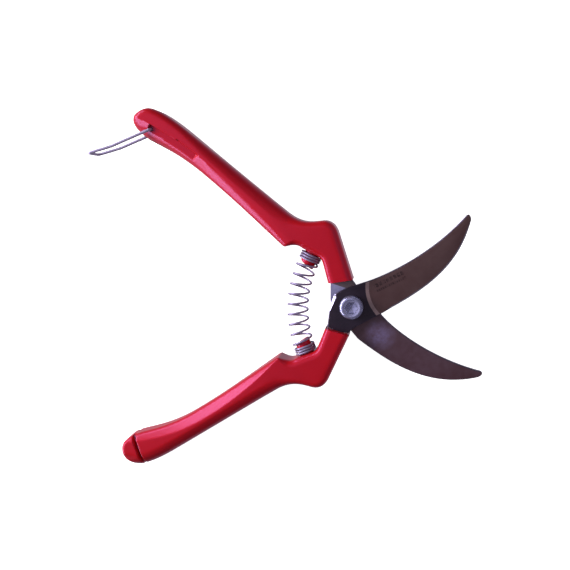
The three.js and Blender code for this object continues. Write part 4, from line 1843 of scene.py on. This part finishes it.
def brushed_group() -> bpy.types.NodeTree:
    """Fine lines along X of the given place, from noise stretched along them.

    Returns:
        the group, made once.
    """
    if "brushed" in bpy.data.node_groups:
        return bpy.data.node_groups["brushed"]
    vector, number = "NodeSocketVector", "NodeSocketFloat"
    fields = [("Place", vector, None), ("Scale", number, 900.0), ("Stretch", number, 0.03)]
    w, given, out = new_group("brushed", fields, ["Lines"])
    parts = w.add("ShaderNodeSeparateXYZ")
    joined = w.add("ShaderNodeCombineXYZ")
    w.join(given.outputs["Place"], parts.inputs[0])
    w.join(w.math("MULTIPLY", parts.outputs[0], given.outputs["Stretch"]), joined.inputs[0])
    w.join(parts.outputs[1], joined.inputs[1])
    w.join(parts.outputs[2], joined.inputs[2])
    noise = w.add("ShaderNodeTexNoise")
    noise.inputs["Detail"].default_value = 5.0
    noise.inputs["Roughness"].default_value = 0.65
    w.join(joined.outputs[0], noise.inputs["Vector"])
    w.join(given.outputs["Scale"], noise.inputs["Scale"])
    w.join(noise.outputs[0], out.inputs["Lines"])
    return w.tree


def scuff_group() -> bpy.types.NodeTree:
    """Stray specks: small round dots, one near each of a scatter of cell centres.

    Returns:
        the group, made once.
    """
    if "scuff" in bpy.data.node_groups:
        return bpy.data.node_groups["scuff"]
    vector, number = "NodeSocketVector", "NodeSocketFloat"
    fields = [("Place", vector, None), ("Scale", number, 700.0)]
    w, given, out = new_group("scuff", fields, ["Specks"])
    dots = w.add("ShaderNodeTexVoronoi")
    w.join(given.outputs["Place"], dots.inputs["Vector"])
    w.join(given.outputs["Scale"], dots.inputs["Scale"])
    near = w.math("SUBTRACT", 0.16, dots.outputs["Distance"])
    w.join(w.math("MULTIPLY", near, 8.0, clamp=True), out.inputs["Specks"])
    return w.tree


@dataclass(frozen=True)
class Finish:
    """One finish: two colours that drift into each other, and the grain that lies on them."""

    name: str
    colour: Colour
    drift: Colour
    roughness: float
    rough_drift: float = 0.08
    metallic: float = 0.0
    specular: float = 0.5
    coat: float = 0.0
    coat_roughness: float = 0.08
    mottle_scale: float = 60.0
    mottle_contrast: float = 2.0
    grain_scale: float = 2500.0
    grain: float = 0.02
    lines: float = 0.0
    line_scale: float = 900.0
    line_angle: float = 0.0
    speck_colour: Colour = (0.6, 0.6, 0.6)
    specks: float = 0.0
    tint: Colour = (1.0, 1.0, 1.0)

    def material(self) -> bpy.types.Material:
        """The finish's material, made once.

        Returns:
            the material.
        """
        if self.name in bpy.data.materials:
            return bpy.data.materials[self.name]
        made = bpy.data.materials.new(self.name)
        made.use_nodes = True
        made.node_tree.nodes.clear()
        w = Wiring(made.node_tree)
        shader = w.add("ShaderNodeBsdfPrincipled")
        w.join(shader.outputs[0], w.add("ShaderNodeOutputMaterial").inputs["Surface"])
        shader.inputs["Metallic"].default_value = self.metallic
        shader.inputs["Specular IOR Level"].default_value = self.specular
        shader.inputs["Specular Tint"].default_value = (*self.tint, 1.0)
        shader.inputs["Coat Weight"].default_value = self.coat
        shader.inputs["Coat Roughness"].default_value = self.coat_roughness
        place = w.add("ShaderNodeTexCoord").outputs["Object"]
        turned_place = w.add("ShaderNodeMapping")
        turned_place.inputs["Rotation"].default_value[2] = math.radians(-self.line_angle)
        w.join(place, turned_place.inputs["Vector"])
        mottle = w.group(mottle_group(), Place=place, Scale=self.mottle_scale, Contrast=self.mottle_contrast)
        brushed = w.group(brushed_group(), Place=turned_place.outputs[0], Scale=self.line_scale)
        scuff = w.group(scuff_group(), Place=place)
        colour = w.mix(mottle.outputs["Mask"], self.colour, self.drift)
        colour = self.marked(w, place, colour)
        colour = w.mix(w.math("MULTIPLY", scuff.outputs["Specks"], self.specks), colour, self.speck_colour)
        w.join(colour, shader.inputs["Base Color"])
        rough = w.math("MULTIPLY", w.math("SUBTRACT", mottle.outputs["Mask"], 0.5), self.rough_drift)
        streak = w.math("MULTIPLY", w.math("SUBTRACT", brushed.outputs["Lines"], 0.5), self.lines * 0.4)
        rough = w.math("ADD", w.math("ADD", rough, streak), self.roughness, clamp=True)
        w.join(rough, shader.inputs["Roughness"])
        grain = w.add("ShaderNodeTexNoise")
        grain.inputs["Scale"].default_value = self.grain_scale
        grain.inputs["Detail"].default_value = 3.0
        w.join(place, grain.inputs["Vector"])
        height = w.math("MULTIPLY", grain.outputs[0], self.grain)
        height = w.math("ADD", height, w.math("MULTIPLY", brushed.outputs["Lines"], self.lines * 0.03))
        bump = w.add("ShaderNodeBump")
        bump.inputs["Distance"].default_value = MM
        w.join(height, bump.inputs["Height"])
        w.join(bump.outputs[0], shader.inputs["Normal"])
        return made

    def marked(self, w: Wiring, place: Socket, colour: Socket) -> Socket:
        """The colour with this finish's own marks on it; a plain finish has none.

        Args:
            w: the wiring of the material.
            place: the surface's Object coordinates.
            colour: the colour so far.

        Returns:
            the colour with the marks.
        """
        return colour


@dataclass(frozen=True)
class EtchedFinish(Finish):
    """A finish with two rows of short etched bars across a small field."""

    field: tuple[float, float, float, float] = (14.5, 30.0, 1.1, 5.2)
    field_angle: float = 27.0
    etch_colour: Colour = (0.012, 0.003, 0.004)
    bar: float = 1.9

    def marked(self, w: Wiring, place: Socket, colour: Socket) -> Socket:
        """Darkens bars in the field: a wide row above and a fine one below, broken up by noise.

        Args:
            w: the wiring of the material.
            place: the surface's Object coordinates.
            colour: the colour so far.

        Returns:
            the colour with the bars.
        """
        turned_place = w.add("ShaderNodeMapping", vector_type="TEXTURE")
        turned_place.inputs["Rotation"].default_value[2] = math.radians(self.field_angle)
        w.join(place, turned_place.inputs["Vector"])
        parts = w.add("ShaderNodeSeparateXYZ")
        w.join(turned_place.outputs[0], parts.inputs[0])
        x, y = w.math("DIVIDE", parts.outputs[0], MM), w.math("DIVIDE", parts.outputs[1], MM)
        left, right, low, high = self.field
        within = w.math("MULTIPLY", w.math("GREATER_THAN", x, left), w.math("LESS_THAN", x, right))
        rows = []
        for row_low, row_high, bar in ((low + 2.2, high, self.bar), (low, low + 1.1, self.bar * 0.55)):
            row = w.math("MULTIPLY", w.math("GREATER_THAN", y, row_low), w.math("LESS_THAN", y, row_high))
            wave = w.math("FRACT", w.math("DIVIDE", x, bar))
            rows.append(w.math("MULTIPLY", row, w.math("LESS_THAN", wave, 0.72)))
        noise = w.add("ShaderNodeTexNoise")
        noise.inputs["Scale"].default_value = 900.0
        w.join(place, noise.inputs["Vector"])
        worn = w.math("MULTIPLY", w.math("SUBTRACT", noise.outputs[0], 0.3), 3.0, clamp=True)
        either = w.math("ADD", rows[0], rows[1], clamp=True)
        bars = w.math("MULTIPLY", w.math("MULTIPLY", either, within), worn)
        return w.mix(w.math("MULTIPLY", bars, 0.95), colour, self.etch_colour)


@dataclass(frozen=True)
class HazedFinish(Finish):
    """A finish with a pale smear, where the coating has been rubbed by the other blade."""

    haze_at: Point = (14.0, -14.2)
    haze_radius: float = 8.5
    haze_colour: Colour = (0.14, 0.11, 0.22)

    def marked(self, w: Wiring, place: Socket, colour: Socket) -> Socket:
        """Mixes in the pale colour by closeness to the smear's middle, times noise.

        Args:
            w: the wiring of the material.
            place: the surface's Object coordinates.
            colour: the colour so far.

        Returns:
            the colour with the smear.
        """
        parts = w.add("ShaderNodeSeparateXYZ")
        w.join(place, parts.inputs[0])
        off = [w.math("SUBTRACT", parts.outputs[k], self.haze_at[k] * MM) for k in (0, 1)]
        square = w.math("ADD", w.math("MULTIPLY", off[0], off[0]), w.math("MULTIPLY", off[1], off[1]))
        far = w.math("DIVIDE", w.math("SQRT", square), self.haze_radius * MM)
        near = w.math("SUBTRACT", 1.0, far, clamp=True)
        cloud = w.group(mottle_group(), Place=place, Scale=330.0, Contrast=2.5)
        share = w.math("MULTIPLY", w.math("MULTIPLY", near, 1.5, clamp=True), cloud.outputs["Mask"])
        return w.mix(share, colour, self.haze_colour)


RED_PLASTIC = Finish(
    "red_plastic",
    (0.40, 0.005, 0.007),
    (0.34, 0.004, 0.006),
    0.3,
    rough_drift=0.04,
    mottle_scale=45,
    grain_scale=1800,
    grain=0.008,
    tint=(0.85, 0.42, 1.0),
)
BLUED_STEEL = Finish(
    "blued_steel",
    (0.010, 0.007, 0.014),
    (0.019, 0.011, 0.022),
    0.42,
    specular=0.35,
    mottle_scale=90,
    lines=0.3,
    line_angle=70,
)
GROUND_STRIP = Finish(
    "ground_strip", (0.15, 0.10, 0.105), (0.19, 0.13, 0.135), 0.45, lines=0.6, line_angle=110
)
BROWN_STEEL = {"mottle_scale": 55, "lines": 0.7, "line_angle": 39, "rough_drift": 0.14, "specular": 0.45}
ETCHED_STEEL = EtchedFinish("etched_steel", (0.046, 0.019, 0.020), (0.072, 0.040, 0.041), 0.42, **BROWN_STEEL)
PLUM_PLATE = Finish("plum_plate", (0.085, 0.06, 0.075), (0.12, 0.09, 0.10), 0.42, lines=0.4, line_angle=-60)
# A painted reflection: bright lavender steel for the patch of the rear plate round the pivot.
PAINTED_REFLECTION_STEEL = Finish(
    "plate_painted_reflection",
    (0.42, 0.42, 0.66),
    (0.16, 0.16, 0.30),
    0.36,
    metallic=0.3,
    mottle_scale=160,
    lines=1.0,
    line_angle=-35,
)
PLUM_STEEL = HazedFinish(
    "plum_steel",
    (0.046, 0.017, 0.022),
    (0.074, 0.040, 0.058),
    0.4,
    specular=0.45,
    mottle_scale=70,
    mottle_contrast=2.6,
    lines=0.7,
    line_angle=-26,
    rough_drift=0.14,
)
EDGE_STEEL = Finish(
    "edge_steel", (0.09, 0.075, 0.12), (0.05, 0.04, 0.065), 0.35, metallic=0.7, mottle_scale=300
)
# A painted highlight: the heel bevel is a real chamfer, and its bright colour stands in for light from the left.
HIGHLIGHT_STEEL = Finish("bevel_painted_highlight", (0.5, 0.48, 0.62), (0.38, 0.36, 0.5), 0.3, metallic=0.9, mottle_scale=300)
ZINC = Finish(
    "zinc_plate", (0.36, 0.37, 0.60), (0.46, 0.46, 0.66), 0.27, metallic=0.8, mottle_scale=400, lines=0.2
)
SPRING_WIRE = Finish(
    "spring_wire_drawn", (0.30, 0.26, 0.40), (0.22, 0.19, 0.30), 0.42, metallic=0.5, mottle_scale=500
)
CLASP_WIRE = Finish(
    "clasp_wire_drawn", (0.34, 0.30, 0.44), (0.26, 0.23, 0.34), 0.4, metallic=0.5, mottle_scale=500
)


# ---------------------------------------------------------------- stage


@dataclass
class Stage:
    """Floor, lights and camera."""

    camera_at: tuple[float, float, float] = (0.0180, 0.0498, 0.3519)
    look_at: tuple[float, float, float] = (-0.0334, 0.0100, 0.0080)
    up: tuple[float, float, float] = (-0.0168, 0.9935, -0.1127)
    view_angle: float = 44.3

    def camera(self) -> None:
        """Puts the camera almost straight above the shears, as far off as a hand would hold it."""
        camera = bpy.data.objects.new("camera", bpy.data.cameras.new("camera"))
        bpy.context.scene.collection.objects.link(camera)
        camera.data.angle = math.radians(self.view_angle)
        back = (Vector(self.camera_at) - Vector(self.look_at)).normalized()
        right = Vector(self.up).cross(back).normalized()
        up = back.cross(right)
        axes = Matrix((right, up, back)).transposed().to_4x4()
        camera.matrix_world = Matrix.Translation(self.camera_at) @ axes
        bpy.context.scene.camera = camera

    def light(
        self,
        name: str,
        at: tuple,
        size: tuple,
        energy: float,
        colour: Colour,
        diffuse: bool,
        gloss: bool,
        aim: tuple | None = None,
    ) -> None:
        """One soft rectangle of light.

        Args:
            name: the light's name.
            at: its middle, in metres.
            size: its width and height, in metres.
            energy: its power in watts.
            colour: its colour.
            diffuse: whether it lights the surfaces' own colour.
            gloss: whether it shows in reflections.
            aim: the place it faces; the shears, when left out.
        """
        data = bpy.data.lights.new(name, "AREA")
        data.shape = "RECTANGLE"
        data.size, data.size_y = size
        data.energy = energy
        data.color = colour
        lamp = bpy.data.objects.new(name, data)
        bpy.context.scene.collection.objects.link(lamp)
        lamp.location = at
        lamp.rotation_euler = (Vector(at) - Vector(aim or self.look_at)).to_track_quat("Z", "Y").to_euler()
        lamp.visible_diffuse = diffuse
        lamp.visible_glossy = gloss

    def floor(self) -> None:
        """A wide pale sheet just under the shears."""
        low = CAD_BOX[0].z - 0.0003
        ring = arc((self.look_at[0], self.look_at[1]), 1.2, 0, 360, 65)[:-1]
        points = np.c_[ring, np.full(len(ring), low)]
        sheet = make_object("floor_sheet", points, [list(range(len(ring)))], outward=False)
        made = bpy.data.materials.new("pale_floor")
        made.use_nodes = True
        shader = made.node_tree.nodes["Principled BSDF"]
        shader.inputs["Base Color"].default_value = (0.9, 0.9, 0.9, 1)
        shader.inputs["Roughness"].default_value = 0.9
        shader.inputs["Emission Color"].default_value = (1, 1, 1, 1)
        shader.inputs["Emission Strength"].default_value = 0.97
        sheet.data.materials.append(made)
        sheet.visible_glossy = False
        sheet.visible_diffuse = False

    def room(self) -> None:
        """A dim room for the light it sheds, which itself looks as pale as the floor."""
        world = bpy.data.worlds.new("room")
        bpy.context.scene.world = world
        world.use_nodes = True
        tree = world.node_tree
        dim = tree.nodes["Background"]
        dim.inputs[0].default_value = (0.10, 0.095, 0.12, 1)
        pale = tree.nodes.new("ShaderNodeBackground")
        pale.inputs[0].default_value = (0.97, 0.97, 0.97, 1)
        seen, mixed = tree.nodes.new("ShaderNodeLightPath"), tree.nodes.new("ShaderNodeMixShader")
        tree.links.new(seen.outputs["Is Camera Ray"], mixed.inputs[0])
        tree.links.new(dim.outputs[0], mixed.inputs[1])
        tree.links.new(pale.outputs[0], mixed.inputs[2])
        tree.links.new(mixed.outputs[0], tree.nodes["World Output"].inputs[0])

    def build(self) -> None:
        """Sets the stage."""
        scene = bpy.context.scene
        scene.view_settings.view_transform = "Standard"
        self.room()
        self.camera()
        self.floor()
        self.light("window", (-0.62, 0.05, 0.17), (1.5, 0.22), 10.0, (0.90, 0.86, 1.0), False, True)
        self.light("key", (-0.74, 0.16, 0.30), (0.4, 0.3), 12.0, (1.0, 0.95, 0.98), True, False)
        above = (-0.36, 0.0, 1.0)
        self.light("desk", (-0.36, 0.0, -0.03), (1.2, 0.55), 1.1, (0.88, 0.84, 1.0), False, True, above)
        self.light("ceiling", (-0.42, 0.12, 0.75), (0.9, 0.7), 1.6, (0.88, 0.84, 1.0), False, True)
        self.light("fill", (0.45, 0.10, 0.40), (0.8, 0.8), 2.6, (1.0, 0.92, 1.0), True, False)


def main() -> None:
    """Builds the shears and reports each piece."""
    logging.basicConfig(level=logging.INFO, format="%(message)s")
    Stage().build()
    pieces = []
    upper = UpperGrip(REAR, "upper_grip_moulding", "upper_grip")
    lower = LowerGrip(FRONT, "lower_grip_moulding", "lower_grip")
    for grip in (upper, lower):
        piece = grip.build()
        piece.data.materials.append(RED_PLASTIC.material())
        pieces.append(piece)
    pieces.append(CuttingBlade(FRONT, "front_blade_ground", "front_blade", "cutting_steel").build())
    pieces.append(CounterBlade(REAR, "rear_blade_ground", "rear_blade", "counter_steel").build())
    pieces.append(ReturnSpring().build())
    pieces.append(WireClasp().build())
    pieces += Pivot().build()
    for piece in pieces:
        log.info("%s: %d faces", piece.name, len(piece.data.polygons))


if __name__ == "__main__":
    main()
